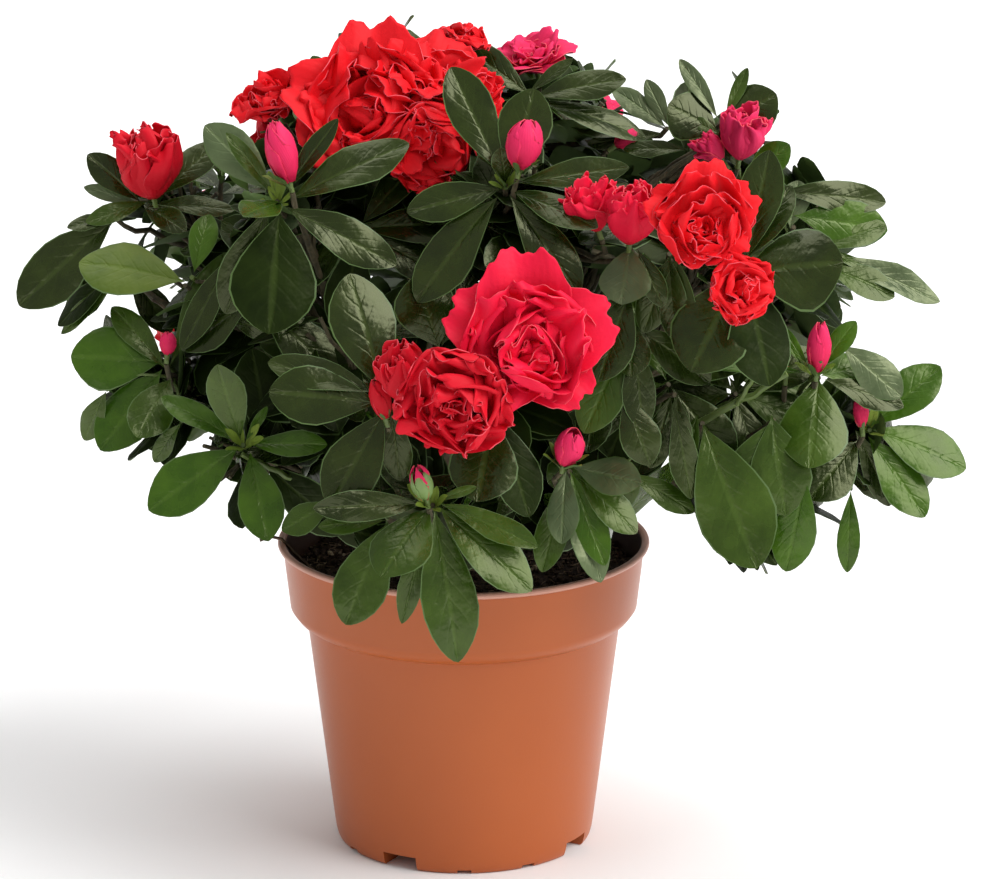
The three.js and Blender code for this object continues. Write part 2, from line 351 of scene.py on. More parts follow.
def joinCopies(name, batches, materials, smooth):
    # each batch is a blank and its placed points, copies x vertices x 3: all go in one mesh
    parts = {"points": [], "corners": [], "sides": [], "slots": [], "uv": []}
    used = 0
    for blank, points in batches:
        copies, count = points.shape[:2]
        shift = used + np.repeat(np.arange(copies) * count, len(blank["corners"]))
        parts["points"].append(points.reshape(-1, 3))
        parts["corners"].append(np.tile(blank["corners"], copies) + shift)
        for key in ("sides", "slots"):
            parts[key].append(np.tile(blank[key], copies))
        parts["uv"].append(np.tile(blank["uv"], (copies, 1)))
        used += copies * count
    whole = {key: np.concatenate(value) for key, value in parts.items()}
    mesh = bpy.data.meshes.new(name)
    mesh.vertices.add(used)
    mesh.loops.add(len(whole["corners"]))
    mesh.polygons.add(len(whole["sides"]))
    mesh.vertices.foreach_set("co", whole["points"].ravel())
    mesh.loops.foreach_set("vertex_index", whole["corners"].astype(np.int32))
    starts = np.cumsum(whole["sides"]) - whole["sides"]
    mesh.polygons.foreach_set("loop_start", starts.astype(np.int32))
    mesh.polygons.foreach_set("material_index", whole["slots"].astype(np.int32))
    mesh.uv_layers.new(name="UVMap").data.foreach_set("uv", whole["uv"].ravel())
    mesh.update(calc_edges=True)
    piece = bpy.data.objects.new(name, mesh)
    scene.collection.objects.link(piece)
    return finishPiece(piece, name, materials, smooth)


def sideways(axis):
    # the way up and the way right, seen by someone who looks straight at the axis
    upright = zAxis if abs(axis[2]) < 0.96 else np.array([0.0, 1.0, 0.0])
    rise = unit(upright - axis * np.dot(upright, axis))
    return rise, np.cross(rise, axis)


def swing(axis, clock, opening):
    # a direction at an angle from the axis, at a clock position round it
    rise, right = sideways(axis)
    c, o = math.radians(clock), math.radians(opening)
    return unit(math.cos(o) * axis + math.sin(o) * (math.cos(c) * rise + math.sin(c) * right))


def smoothWay(t, begin, beginWay, end, endWay, reach):
    # places at the shares t of a curve that leaves and arrives along the given directions
    leave, arrive = t**3 - 2 * t**2 + t, t**3 - t**2
    near, far = 2 * t**3 - 3 * t**2 + 1, 3 * t**2 - 2 * t**3
    return near * begin + leave * beginWay * reach + far * end + arrive * endWay * reach


# mm: lip, collar, body, foot, ring, pad and the circles are radii, and Z marks a height, as do height,
# lipFoot and under; wide and slim are a notch's width and height, and firstNotch is in degrees
potSize = {
    "sides": 112, "lip": 60, "height": 100, "lipFoot": 97.9, "collarTop": 58.2, "collarZ": 79.5,
    "collar": 56.2, "bodyZ": 73.8, "body": 50.7, "foot": 42.2, "ringInside": 33, "pad": 9, "under": 5.2,
    "wall": 1.35, "notches": 12, "wide": (12, 4.6), "slim": (4.5, 1.2), "firstNotch": -120,
    "notchCircle": 37.5, "notchDepth": 13, "drains": 6, "drainCircle": 22, "drain": 3.2, "edge": 0.22,
}
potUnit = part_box("pot")[1].z / potSize["height"]


def makePot():
    s = potSize
    w = s["wall"]
    shares = [i / 6 for i in range(1, 6)]
    profile = [
        # the underside: pad, floor and foot ring
        (s["pad"] - 1, 0), (s["pad"], 0.4), (s["pad"] + 0.8, s["under"] - 0.4),
        (s["pad"] + 1.6, s["under"]), (s["ringInside"] - 2, s["under"]),
        (s["ringInside"] - 1, s["under"] - 0.4), (s["ringInside"] - 0.4, 0.4),
        (s["ringInside"] + 0.4, 0), (s["foot"] - 1.6, 0), (s["foot"] - 1.1, 0.4),
        (s["foot"] - 0.7, 1.4), (s["foot"] - 0.3, 3), (s["foot"], 5),
        # the body, and the shoulder that leads out to the collar
        *[(s["foot"] + (s["body"] - s["foot"]) * t, 5 + (s["bodyZ"] - 5) * t) for t in shares],
        (s["body"] - 0.06, s["bodyZ"] - 0.8), (s["body"] + 0.1, s["bodyZ"]),
        (s["body"] + 0.7, s["bodyZ"] + 0.5), (s["body"] + 2.2, s["bodyZ"] + 1.1),
        (s["body"] + 3.5, s["bodyZ"] + 2.0), (s["body"] + 4.5, s["bodyZ"] + 3.3),
        (s["collar"] - 0.12, s["bodyZ"] + 4.6), (s["collar"], s["collarZ"]),
        (s["collar"] + 0.7, s["collarZ"] + 6), (s["collar"] + 1.4, s["collarZ"] + 12),
        # the bead of the lip
        (s["collarTop"], s["lipFoot"] - 0.1), (s["lip"] - 0.9, s["lipFoot"] + 0.1),
        (s["lip"] - 0.25, s["lipFoot"] + 0.5), (s["lip"], s["lipFoot"] + 1.1),
        (s["lip"] - 0.1, s["height"] - 0.5), (s["lip"] - 0.5, s["height"] - 0.1),
        (s["lip"] - 1.2, s["height"]), (s["lip"] - 1.9, s["height"] - 0.1),
        (s["lip"] - 2.4, s["height"] - 0.5), (s["lip"] - 2.6, s["height"] - 1.2),
        # down the inside
        (s["collarTop"] - w, s["lipFoot"] - 0.6), (s["collar"] - w, s["collarZ"] + 1),
        (s["body"] + 3 - w, s["bodyZ"] + 2.6), (s["body"] - w, s["bodyZ"] + 0.8),
        (s["body"] - w - 0.3, s["bodyZ"] - 2), (s["foot"] - w, 8.5),
        (s["foot"] - w - 1.2, s["under"] + w), (8, s["under"] + w),
    ]
    scaled = [(radius * potUnit, height * potUnit) for radius, height in profile]
    pot = ringUp("potShell", scaled, s["sides"])
    clearSelection()
    for i in range(s["notches"]):
        width, height = s["wide"] if i % 3 == 0 else s["slim"]
        angle = math.radians(s["firstNotch"] + 360 * i / s["notches"])
        reach = s["notchCircle"] * potUnit
        bpy.ops.mesh.primitive_cube_add(
            size=1,
            location=(math.cos(angle) * reach, math.sin(angle) * reach, 0),
            rotation=(0, 0, angle),
            scale=(s["notchDepth"] * potUnit, width * potUnit, 2 * height * potUnit),
        )
        carve(pot, bpy.context.object)
    for i in range(s["drains"]):
        angle = math.radians(360 * i / s["drains"])
        reach = s["drainCircle"] * potUnit
        bpy.ops.mesh.primitive_cylinder_add(
            vertices=24, radius=s["drain"] * potUnit, depth=6 * potUnit,
            location=(math.cos(angle) * reach, math.sin(angle) * reach, (s["under"] + 0.5) * potUnit),
        )
        carve(pot, bpy.context.object)
    applyModifier(
        pot, "BEVEL", width=s["edge"] * potUnit, segments=1, limit_method="ANGLE",
        angle_limit=math.radians(50),
    )
    for name, light, dark, roughness in (
        ("terracottaPlastic", (0.45, 0.108, 0.025), (0.41, 0.093, 0.021), 0.34),
        ("darkInside", (0.05, 0.022, 0.014), (0.035, 0.016, 0.011), 0.35),
        # a paler pink for the bead of the lip: a painted highlight where it catches the light
        ("lipHighlight", (0.62, 0.33, 0.25), (0.50, 0.24, 0.17), 0.4),
    ):
        pot.data.materials.append(plasticFinish(name, light, dark, roughness))
    for face in pot.data.polygons:
        radial = Vector((face.center.x, face.center.y, 0)).normalized()
        inward = face.normal.dot(radial) < -0.3 or face.normal.z > 0.6
        if inward and 6 * potUnit < face.center.z < (s["height"] - 1.3) * potUnit:
            face.material_index = 1
        # the bead of the lip above its foot takes the paler finish, a painted highlight
        if face.center.z > (s["lipFoot"] + 0.3) * potUnit and face.material_index == 0:
            face.material_index = 2
    return finishPiece(pot, "potShell", [], 32)


pot = makePot()
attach(pot, "root")
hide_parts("pot")
print("pot turned, notched and drained")


# mm; lumps: size and strength; crumbs and flecks: how many, the smallest and the largest; edge, spread
# and the fibres' two are radii
peat = {
    "edge": 54.9, "lumps": ((16, 2.6), (3.5, 1.5), (1.2, 0.8)), "crumbs": (2600, 0.35, 2.1),
    "flecks": (90, 0.3, 1.3), "spread": 54.2, "fibres": 420, "fibreSpread": 53, "fibreEdge": 54.5,
}


def makePeat():
    s = potSize
    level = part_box("soil")[1].z - 1.2 * mm
    side = [
        (20, 7), (s["foot"] - 3, 7.1), (s["foot"] - 1.9, 10), (s["body"] - 1.9, s["bodyZ"]),
        (s["collar"] - 2.1, s["collarZ"] + 1.5), (peat["edge"], level / mm - 0.8),
    ]
    flat = [(peat["edge"] * share, level / mm) for share in np.linspace(0.985, 0.05, 26)]
    bed = ringUp("peatBed", [(radius * mm, height * mm) for radius, height in side + flat], 120)
    leaveEditMode()
    top = bed.vertex_groups.new(name="top")
    near = [v.index for v in bed.data.vertices if v.co.z > level - 0.1 * mm]
    top.add(near, 1.0, "REPLACE")
    for size, strength in peat["lumps"]:
        applyModifier(
            bed, "DISPLACE", texture=noiseTexture("peatLumps", size * mm), strength=strength * mm,
            mid_level=0.5, direction="Z", vertex_group="top",
        )
    finish = peatFinish("peat", (0.006, 0.0035, 0.0022), (0.022, 0.012, 0.0075), (0.075, 0.045, 0.026))
    return finishPiece(bed, "peatBed", [finish], 60), level


def crumbPoints(blank, count, smallest, largest, level):
    # each crumb is a lump of its own: squashed, turned and dented at random
    points = np.repeat(blank["points"][None], count, 0)
    points = points * (1 + dice.uniform(-0.3, 0.3, points.shape))
    sizes = (smallest + (largest - smallest) * dice.random((count, 1, 1)) ** 3) * mm
    points = points * sizes * dice.uniform(0.55, 1.2, (count, 1, 3))
    turn = dice.uniform(0, 2 * math.pi, count)
    c, s = np.cos(turn)[:, None], np.sin(turn)[:, None]
    x, y, z = points[..., 0], points[..., 1], points[..., 2]
    points = np.stack([x * c - z * s, y, x * s + z * c], -1)
    reach = peat["spread"] * mm * np.sqrt(dice.random(count))
    bearing = dice.uniform(0, 2 * math.pi, count)
    height = level + dice.uniform(-0.6, 1.3, count) * mm
    spots = np.stack([reach * np.cos(bearing), reach * np.sin(bearing), height], -1)
    return points + spots[:, None]


def strands(name, paths, radii, sides, material):
    # a joined mesh of thin tubes along open paths
    curve = bpy.data.curves.new(name, "CURVE")
    curve.dimensions = "3D"
    curve.bevel_depth = 1.0
    curve.bevel_resolution = (sides - 4) // 2
    curve.use_fill_caps = True
    for path, radius in zip(paths, radii):
        spline = curve.splines.new("POLY")
        spline.points.add(len(path) - 1)
        for point, place, thick in zip(spline.points, path, np.broadcast_to(radius, len(path))):
            point.co = (*place, 1)
            point.radius = thick
    tube = bpy.data.objects.new(name, curve)
    scene.collection.objects.link(tube)
    pick(tube)
    bpy.ops.object.convert(target="MESH")
    return finishPiece(bpy.context.object, name, [material], 60)


def fibrePaths(level):
    paths = []
    for _ in range(peat["fibres"]):
        reach = peat["fibreSpread"] * mm * math.sqrt(dice.random())
        bearing, turn = dice.uniform(0, 2 * math.pi, 2)
        length = dice.uniform(2.5, 9) * mm
        height = level + dice.uniform(0.2, 1.4) * mm
        begin = np.array([reach * math.cos(bearing), reach * math.sin(bearing), height])
        path = []
        for _ in range(5):
            bend = turn + dice.uniform(-0.5, 0.5)
            step = np.array([math.cos(bend), math.sin(bend), dice.uniform(-0.12, 0.16)])
            begin = begin + step * length / 5
            path.append(begin)
        if math.hypot(*begin[:2]) < peat["fibreEdge"] * mm:
            paths.append(path)
    return paths


peatBed, peatLevel = makePeat()
lump = takeBlank(start(bpy.ops.mesh.primitive_ico_sphere_add, subdivisions=1, radius=1))
crumbFinish = peatFinish("peatCrumb", (0.008, 0.0045, 0.003), (0.03, 0.017, 0.01), (0.11, 0.07, 0.042))
fleckFinish = peatFinish("paleFleck", (0.16, 0.11, 0.07), (0.3, 0.23, 0.15), (0.45, 0.38, 0.28))
crumbLumps = crumbPoints(lump, *peat["crumbs"], peatLevel)
crumbs = joinCopies("peatCrumbs", [(lump, crumbLumps)], [crumbFinish], 20)
fleckLumps = crumbPoints(lump, *peat["flecks"], peatLevel + 0.7 * mm)
flecks = joinCopies("peatFlecks", [(lump, fleckLumps)], [fleckFinish], 20)
strawPaths = fibrePaths(peatLevel)
# one old root hangs out over the lip
looseRoot = [np.array(spot) * mm for spot in (
    (-48, -4, 90), (-54, -5, 96), (-58.5, -5, 101.2), (-62, -6, 102.4), (-65.5, -7, 101.4))]
strawRadii = [0.17 * mm] * len(strawPaths) + [0.55 * mm]
strawFinish = barkFinish("rootStraw", 0.002, (0.05, 0.03, 0.018), (0.13, 0.08, 0.045), (0.3, 0.2, 0.12))
fibres = strands("peatFibres", strawPaths + [looseRoot], strawRadii, 4, strawFinish)
for piece in (peatBed, crumbs, flecks, fibres):
    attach(piece, "root")
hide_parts("soil")
print("peat bed, crumbs and fibres laid")


# mm; bins: where along a bough its middle is taken; steps: places along its path; firstTwig: the lowest
# of them with a twig; relief: noise size, depth and strength
wood = {
    "bins": (0.0, 0.13, 0.38, 0.63, 0.88, 1.01), "steps": 22, "overlap": 1.6, "firstTwig": 8,
    "girth": 7.4, "taper": 2.6, "flare": 4.2, "bow": (0.6, 0.4, 0),
    "relief": ((4.5, 3, 1.0), (1.2, 2, 0.3)),
}


def nodePoints(name):
    return np.array([v.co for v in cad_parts[name].data.vertices])


def massBox(mass):
    # the middle of a foliage mass, and half its size
    low, high = (np.array(corner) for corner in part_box("foliage_" + mass))
    return (low + high) / 2, (high - low) / 2


def smoothPath(points, values, steps):
    # a smooth run through the points, with a value such as the thickness carried along
    points = np.array(points)
    stations = np.concatenate([[0], np.cumsum(np.linalg.norm(np.diff(points, axis=0), axis=1))])
    slopes = np.gradient(points, stations, axis=0)
    out = []
    for t in np.linspace(0, stations[-1], steps):
        k = min(max(np.searchsorted(stations, t) - 1, 0), len(points) - 2)
        span = stations[k + 1] - stations[k]
        share = (t - stations[k]) / span
        out.append(smoothWay(share, points[k], slopes[k], points[k + 1], slopes[k + 1], span))
    return np.array(out), np.interp(np.linspace(0, stations[-1], steps), stations, values)


def boughSpine(mass):
    # the middle line of a bough's solid, from its foot to its tip in the mass
    points = nodePoints("bough_" + mass)
    order = np.argsort(np.linalg.norm(points - massBox(mass)[0], axis=1))
    tip, foot = points[order[:4]].mean(0), points[order[-4:]].mean(0)
    way = tip - foot
    share = (points - foot) @ way / (way @ way)
    stations, thick = [], []
    for low, high in zip(wood["bins"], wood["bins"][1:]):
        inside = points[(share >= low - 0.05 * (low == 0)) & (share < high)]
        if len(inside) >= 3:
            stations.append(inside.mean(0))
            spread = inside - inside.mean(0)
            spread = spread - np.outer(spread @ unit(way), unit(way))
            thick.append(np.median(np.linalg.norm(spread, axis=1)))
    stations[0] = stations[0] - unit(stations[1] - stations[0]) * wood["overlap"] * mm
    thick = np.maximum.accumulate(np.array(thick)[::-1])[::-1]
    thick[0] = max(thick[0], thick[1] * 1.1)
    return smoothPath(stations, thick, wood["steps"])


def makeWood(spines):
    low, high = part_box("trunk")
    points = nodePoints("trunk")
    fork = points[points[:, 2] > high.z - 1.5 * mm].mean(0)
    foot = np.array([0, 0, low.z - 2 * mm])
    rise = np.linspace(0, 1, 12)[:, None]
    path = foot + (fork - foot) * rise + np.sin(rise * math.pi) * np.array(wood["bow"]) * mm
    share = rise[:, 0]
    thick = (wood["girth"] - wood["taper"] * share + wood["flare"] * np.exp(-7 * share)) * mm
    paths = [path] + [spine for spine, _ in spines.values()]
    radii = [thick] + [girth for _, girth in spines.values()]
    bark = barkFinish("azaleaBark", 0.004, (0.045, 0.03, 0.02), (0.13, 0.09, 0.055), (0.24, 0.18, 0.11))
    piece = strands("trunkAndBoughs", paths, radii, 12, bark)
    applyModifier(piece, "SUBSURF", levels=1, render_levels=1)
    for size, depth, strength in wood["relief"]:
        texture = noiseTexture("barkRelief", size * mm, depth)
        applyModifier(piece, "DISPLACE", texture=texture, strength=strength * mm, mid_level=0.5)
    return finishPiece(piece, "trunkAndBoughs", [], 60)


spines = {mass: boughSpine(mass) for mass in massNames}
woodPiece = makeWood(spines)
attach(woodPiece, "root")
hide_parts("trunk", *["bough_" + mass for mass in massNames])
print("trunk and", len(spines), "boughs covered with bark")


# a leaf is modelled once in two grades: rows from stalk to tip, and columns from the rib to the edge
leafCut = {
    "fine": ((0, 0.06, 0.14, 0.26, 0.4, 0.54, 0.67, 0.79, 0.88, 0.945, 0.982, 1), (0.05, 0.5, 0.955, 1)),
    "plain": ((0, 0.08, 0.22, 0.42, 0.62, 0.8, 0.92, 0.98, 1), (0, 0.5, 0.94, 1)),
}


def leafHalfWidth(v):
    # an oval, widest past its middle, on a narrow stalk; zero at both ends
    t = np.clip((np.asarray(v, float) - 0.07) / 0.93, 0, 1)
    blade = 0.5 * np.sin(math.pi * t**1.32) ** 0.68
    stalk = 0.035 * np.clip(1 - t * 3, 0, 1)
    return np.where((v <= 0) | (v >= 1), 0, blade + stalk)


def layGrid(columns, rows, shape, slotOf):
    # a grid with its lines at the given columns and rows, each point where shape puts it
    wide, long = len(columns) - 1, len(rows) - 1
    grid = start(bpy.ops.mesh.primitive_grid_add, x_subdivisions=wide, y_subdivisions=long, size=1)
    leaveEditMode()
    for face in grid.data.polygons:
        i, k = int((face.center.x + 0.5) * wide), int((face.center.y + 0.5) * long)
        face.material_index = slotOf((columns[i] + columns[i + 1]) / 2, (rows[k] + rows[k + 1]) / 2)
    for spot in grid.data.uv_layers.active.data:
        i, k = round(spot.uv.x * wide), round(spot.uv.y * long)
        spot.uv = ((columns[i] + 1) / 2, rows[k])
    for vert in grid.data.vertices:
        i, k = round((vert.co.x + 0.5) * wide), round((vert.co.y + 0.5) * long)
        vert.co = shape(columns[i], rows[k])
    return grid


def makeLeafBlank(kind):
    # a top with a sunken rib and a thin pale margin, closed by a keeled underside
    rows, half = leafCut[kind]
    columns = [-c for c in reversed(half)] + [c for c in half if c > 0]
    top = layGrid(
        columns, rows,
        lambda u, v: (u * leafHalfWidth(v), v, -0.012 * (abs(u) < 0.06) * (0.08 < v < 0.95)),
        lambda u, v: 2 if abs(u) > half[-2] else 0,
    )
    under = layGrid(
        (-1, 0, 1), rows,
        lambda u, v: (u * leafHalfWidth(v), v, -0.024 * (1 - abs(u)) * (0 < v < 1)),
        lambda u, v: 1,
    )
    # the join keeps the slots apart only where both sheets hold the same three
    for name in ("blade", "underside", "margin"):
        holder = bpy.data.materials.new(name)
        top.data.materials.append(holder)
        under.data.materials.append(holder)
    pick(top, under)
    bpy.ops.object.join()
    bpy.ops.object.mode_set(mode="EDIT")
    bpy.ops.mesh.select_all(action="SELECT")
    bpy.ops.mesh.remove_doubles(threshold=0.0002)
    bpy.ops.mesh.normals_make_consistent(inside=False)
    return takeBlank(top)


leafBlanks = {kind: makeLeafBlank(kind) for kind in leafCut}
leafList = []


def addLeaf(tint, base, way, upper, length, width, bend, fold, twist=0.0, wave=0.02, kind="plain"):
    way = unit(way)
    upper = unit(upper - way * np.dot(upper, way))
    leafList.append({
        "tint": tint, "kind": kind, "base": base, "way": way, "upper": upper, "length": length * mm,
        "width": width, "bend": bend, "fold": fold, "twist": twist, "wave": wave,
        "phase": dice.uniform(0, 6.28),
    })


def placeLeaves(blank, leaves):
    # every leaf is arched along its rib, folded, twisted and waved, then set on its twig
    def column(key):
        return np.array([leaf[key] for leaf in leaves])[:, None]

    across, v, lift = blank["points"].T
    long, bend = column("length"), column("bend")
    turned = bend * v
    along = np.sin(turned) / bend * long
    drop = (np.cos(turned) - 1) / bend * long
    x = across * column("width") * long
    ripple = np.sin(v * 9 + column("phase")) * column("wave") * long * np.abs(across) * 2
    h = lift * long + column("fold") * np.abs(x) - 0.8 * x**2 / long + ripple
    roll = column("twist") * v
    x, h = x * np.cos(roll) - h * np.sin(roll), x * np.sin(roll) + h * np.cos(roll)
    y, z = along + np.sin(turned) * h, drop + np.cos(turned) * h
    way = np.array([leaf["way"] for leaf in leaves])
    upper = np.array([leaf["upper"] for leaf in leaves])
    side = np.cross(way, upper)
    base = np.array([leaf["base"] for leaf in leaves])
    flat = base[:, None] + x[..., None] * side[:, None] + y[..., None] * way[:, None]
    return flat + z[..., None] * upper[:, None]


twigList = []


def twigPath(begin, beginWay, end, endWay):
    reach = np.linalg.norm(end - begin)
    share = np.linspace(0, 1, 9)[:, None]
    path = smoothWay(share, begin, unit(beginWay), end, unit(endWay), reach)
    path[1:-1] += dice.normal(0, 0.012, (7, 3)) * reach
    return path


def keepTwig(path, thick, thin, green):
    twigList.append({"path": path, "radius": np.linspace(thick, thin, len(path)) * mm, "green": green})


def addTwig(begin, beginWay, end, endWay, thick, thin, green):
    keepTwig(twigPath(begin, beginWay, end, endWay), thick, thin, green)


# the front of the plant, as one stands before it: clock 0 is up, 90 is right, and lean comes nearer
frontUp = unit(np.array([0, 0.28, 0.96]))
frontNear = unit(np.array([0, -0.96, 0.28]))


def frontWay(clock, lean):
    c, k = math.radians(clock), math.radians(lean)
    flat = math.sin(c) * np.array([1.0, 0, 0]) + math.cos(c) * frontUp
    return unit(math.cos(k) * flat + math.sin(k) * frontNear)


# a ring: petals, their length and width, tilt from the axis at foot and tip, ruffle (how far the sheet
# turns to and fro at its rim, in radians) and its waves, how far the sheet wraps round the axis, the
# twist and the flare of its mouth in degrees, and how unlike each other its petals are
flowerRings = {
    "open": [
        (5, 1.0, 1.1, (32, 98), 0.75, 2.0, 0.2, 0, 0, 0.7),
        (5, 0.9, 1.15, (24, 82), 0.95, 2.4, 0.3, 0, 0, 1.0),
        (5, 0.74, 1.35, (14, 64), 1.35, 2.8, 0.4, 0, 10, 1.3),
        (5, 0.6, 1.5, (6, 42), 1.6, 3.0, 0.5, 0, 20, 1.8),
    ],
    "crested": [
        (5, 1.0, 0.96, (34, 92), 0.55, 2.0, 0.2, 0, 0, 0.4),
        (5, 0.8, 2.1, (30, 74), 1.75, 3.8, 0.3, 0, 0, 1.0),
        (5, 0.74, 2.5, (22, 54), 1.95, 4.0, 0.4, 0, 10, 1.4),
        (5, 0.66, 2.5, (12, 38), 2.0, 3.7, 0.5, 0, 15, 1.8),
        (4, 0.58, 2.0, (-4, 18), 1.9, 3.0, 0.5, 0, 15, 2.0),
    ],
    "frilled": [
        (5, 1.0, 2.1, (30, 84), 1.7, 3.8, 0.3, 0, 0, 1.0),
        (5, 0.94, 2.4, (22, 60), 1.95, 3.9, 0.4, 0, 10, 1.4),
        (5, 0.86, 2.3, (10, 40), 2.0, 3.6, 0.5, 0, 15, 1.8),
        (4, 0.76, 2.0, (-4, 20), 1.95, 3.0, 0.6, 0, 15, 2.0),
    ],
    "half": [
        (5, 1.0, 1.15, (48, -12), 1.3, 2.6, 0.85, 8, 14, 0.9),
        (5, 0.97, 1.2, (36, -8), 1.6, 3.0, 0.75, 8, 15, 1.4),
        (4, 0.94, 1.2, (20, -4), 1.8, 3.0, 0.6, 8, 10, 2.0),
    ],
    "bud": [
        (5, 1.0, 0.5, (36, -34), 0.12, 1.2, 1.0, 75, 0, 0.5),
        (4, 0.97, 0.42, (26, -28), 0.2, 1.5, 1.0, 75, 0, 0.5),
    ],
    "egg": [
        (5, 1.0, 0.74, (56, -50), 0.1, 1.2, 1.0, 30, 0, 0.3),
        (4, 0.95, 0.66, (46, -42), 0.2, 1.5, 1.0, 30, 0, 0.5),
    ],
    "green": [(4, 1.0, 0.36, (42, -40), 0.1, 1.0, 1.0, 20, 0, 0.2)],
}
budScale = (6, 1.0, 0.5, (50, -34), 0.05, 1.0, 1.0, 10, 0, 0.2)
closedKinds = ("bud", "egg", "green")
# sizes from which a leading flower is divided more finely, or a leading bud has young leaves at its foot
flowerLimits = {"fine": 15.5, "finest": 19, "bracts": 13}
# how finely a petal is divided: faces across, and its rows from foot to rim
fineRows = (0, 0.14, 0.3, 0.46, 0.6, 0.72, 0.82, 0.9, 0.96, 1)
petalCut = {
    "finest": (38, fineRows),
    "fine": (28, fineRows),
    "middle": (22, (0, 0.17, 0.36, 0.55, 0.72, 0.86, 0.95, 1)),
    "plain": (16, (0, 0.2, 0.42, 0.62, 0.8, 0.92, 1)),
}


def makePetalBlank(across, rows):
    columns = [2 * i / across - 1 for i in range(across + 1)]
    return takeBlank(layGrid(columns, rows, lambda u, v: (u, v, 0), lambda u, v: 0))


petalBlanks = {cut: makePetalBlank(*size) for cut, size in petalCut.items()}
petalSheets = {}
blooms = []


def petalGrade(kind, tint, size, lead):
    # there is no room for the finest grade in the scarlet piece, the fullest of them
    if kind in closedKinds or not lead:
        return "plain"
    if size > flowerLimits["finest"] and tint != "scarlet":
        return "finest"
    return "fine" if size > flowerLimits["fine"] else "middle"


def middleSum(values, step):
    # running total along each row, counted from the row's middle
    total = np.cumsum((values[:, 1:] + values[:, :-1]) / 2 * step, axis=1)
    total = np.hstack([np.zeros((len(values), 1)), total])
    return total - total[:, values.shape[1] // 2][:, None]


def petalSheet(bloom, turn, ring, cut):
    _, length, width, tilts, ruffle, waves, wrap, twist, flare, unlike = ring
    across, rows = petalCut[cut]
    u, row = np.linspace(-1, 1, across + 1)[None], np.array(rows)[:, None]
    size, phase = bloom["size"] * mm, dice.uniform(0, 6.28, 6)
    upward = math.cos(turn)
    long = length * size * (1 + 0.1 * unlike * dice.uniform(-1, 1)) * (1 + bloom["crest"] * upward)
    ruffle = ruffle * (1 + 0.2 * unlike * dice.uniform(-1, 1)) * (1 - 1.5 * bloom["crest"] * upward)
    turn = turn + 0.16 * unlike * dice.uniform(-1, 1)
    # where each column ends, and the middle line of the sheet run out from its foot
    edge = -(0.36 if ruffle < 0.8 else 0.28) * np.abs(u) ** 3.2 + 0.02 * np.sin(6 * u + phase[3])
    if not bloom["closed"]:
        edge = edge + 0.025 * np.sin(9 * u + phase[3]) + 0.018 * np.sin(22 * u + phase[4])
    v = row * (1 + edge * row**1.5)
    run = np.linspace(0, 1.06, 48)
    first, last = np.radians(tilts) + 0.13 * unlike * dice.normal(0, 1, 2) * (wrap < 1)
    lean = first + (last - first) * run + math.radians(flare) * np.clip((run - 0.68) / 0.32, 0, 1) ** 1.5
    step = long * (run[1] - run[0])
    out = np.interp(v, run, np.cumsum(np.sin(lean)) * step)
    up = np.interp(v, run, np.cumsum(np.cos(lean)) * step)
    tilt = np.interp(v, run, lean)
    # the sheet turns to and fro across, more and more towards its rim
    half = long * width / 2 * (0.16 + 0.84 * np.sin(np.clip(v / 0.72, 0, 1) * math.pi / 2))
    if bloom["closed"]:
        half = half * np.sqrt(np.clip((1.03 - v) / 0.4, 0, 1))
    theta = waves * math.pi * u + phase[0] + 0.7 * np.sin(2 * v + phase[5])
    sway = ruffle * (v**1.7 * np.sin(theta) + 0.45 * v**4 * np.sin(1.7 * theta + phase[1]))
    x = middleSum(np.cos(sway) * half, 2 / across)
    swell = middleSum(np.sin(sway) * half, 2 / across)
    swell = swell - 0.7 * u * (swell[:, -1:] - swell[:, :1]) / 2
    swell = swell + 0.05 * ruffle * long * v * np.sin(6 * v + phase[2])
    swell = swell + 0.1 * long * u**2 * v * (wrap < 1)
    foot = 0.05 * size
    girth = np.maximum(foot + out, 0.3 * mm) / wrap
    bow = np.clip(x / girth, -2.4, 2.4)
    radial = foot + out - swell * np.cos(tilt) + girth * (np.cos(bow) - 1)
    radial = radial + (0.04 * size * (u + 1) / 2 if wrap == 1.0 else 0)
    tangent = girth * np.sin(bow)
    height = up + swell * np.sin(tilt)
    angle = turn + math.radians(twist) * v
    rise, right = sideways(bloom["axis"])
    radialWay = np.cos(angle)[..., None] * rise + np.sin(angle)[..., None] * right
    tangentWay = np.cross(np.broadcast_to(bloom["axis"], radialWay.shape), radialWay)
    sheet = (
        bloom["base"] + radialWay * radial[..., None] + tangentWay * tangent[..., None]
        + bloom["axis"] * height[..., None]
    )
    # in the order of the blank's own points
    spots = petalBlanks[cut]["points"]
    column = np.rint((spots[:, 0] + 1) / 2 * across).astype(int)
    return sheet[np.searchsorted(rows, spots[:, 1] - 0.001), column]


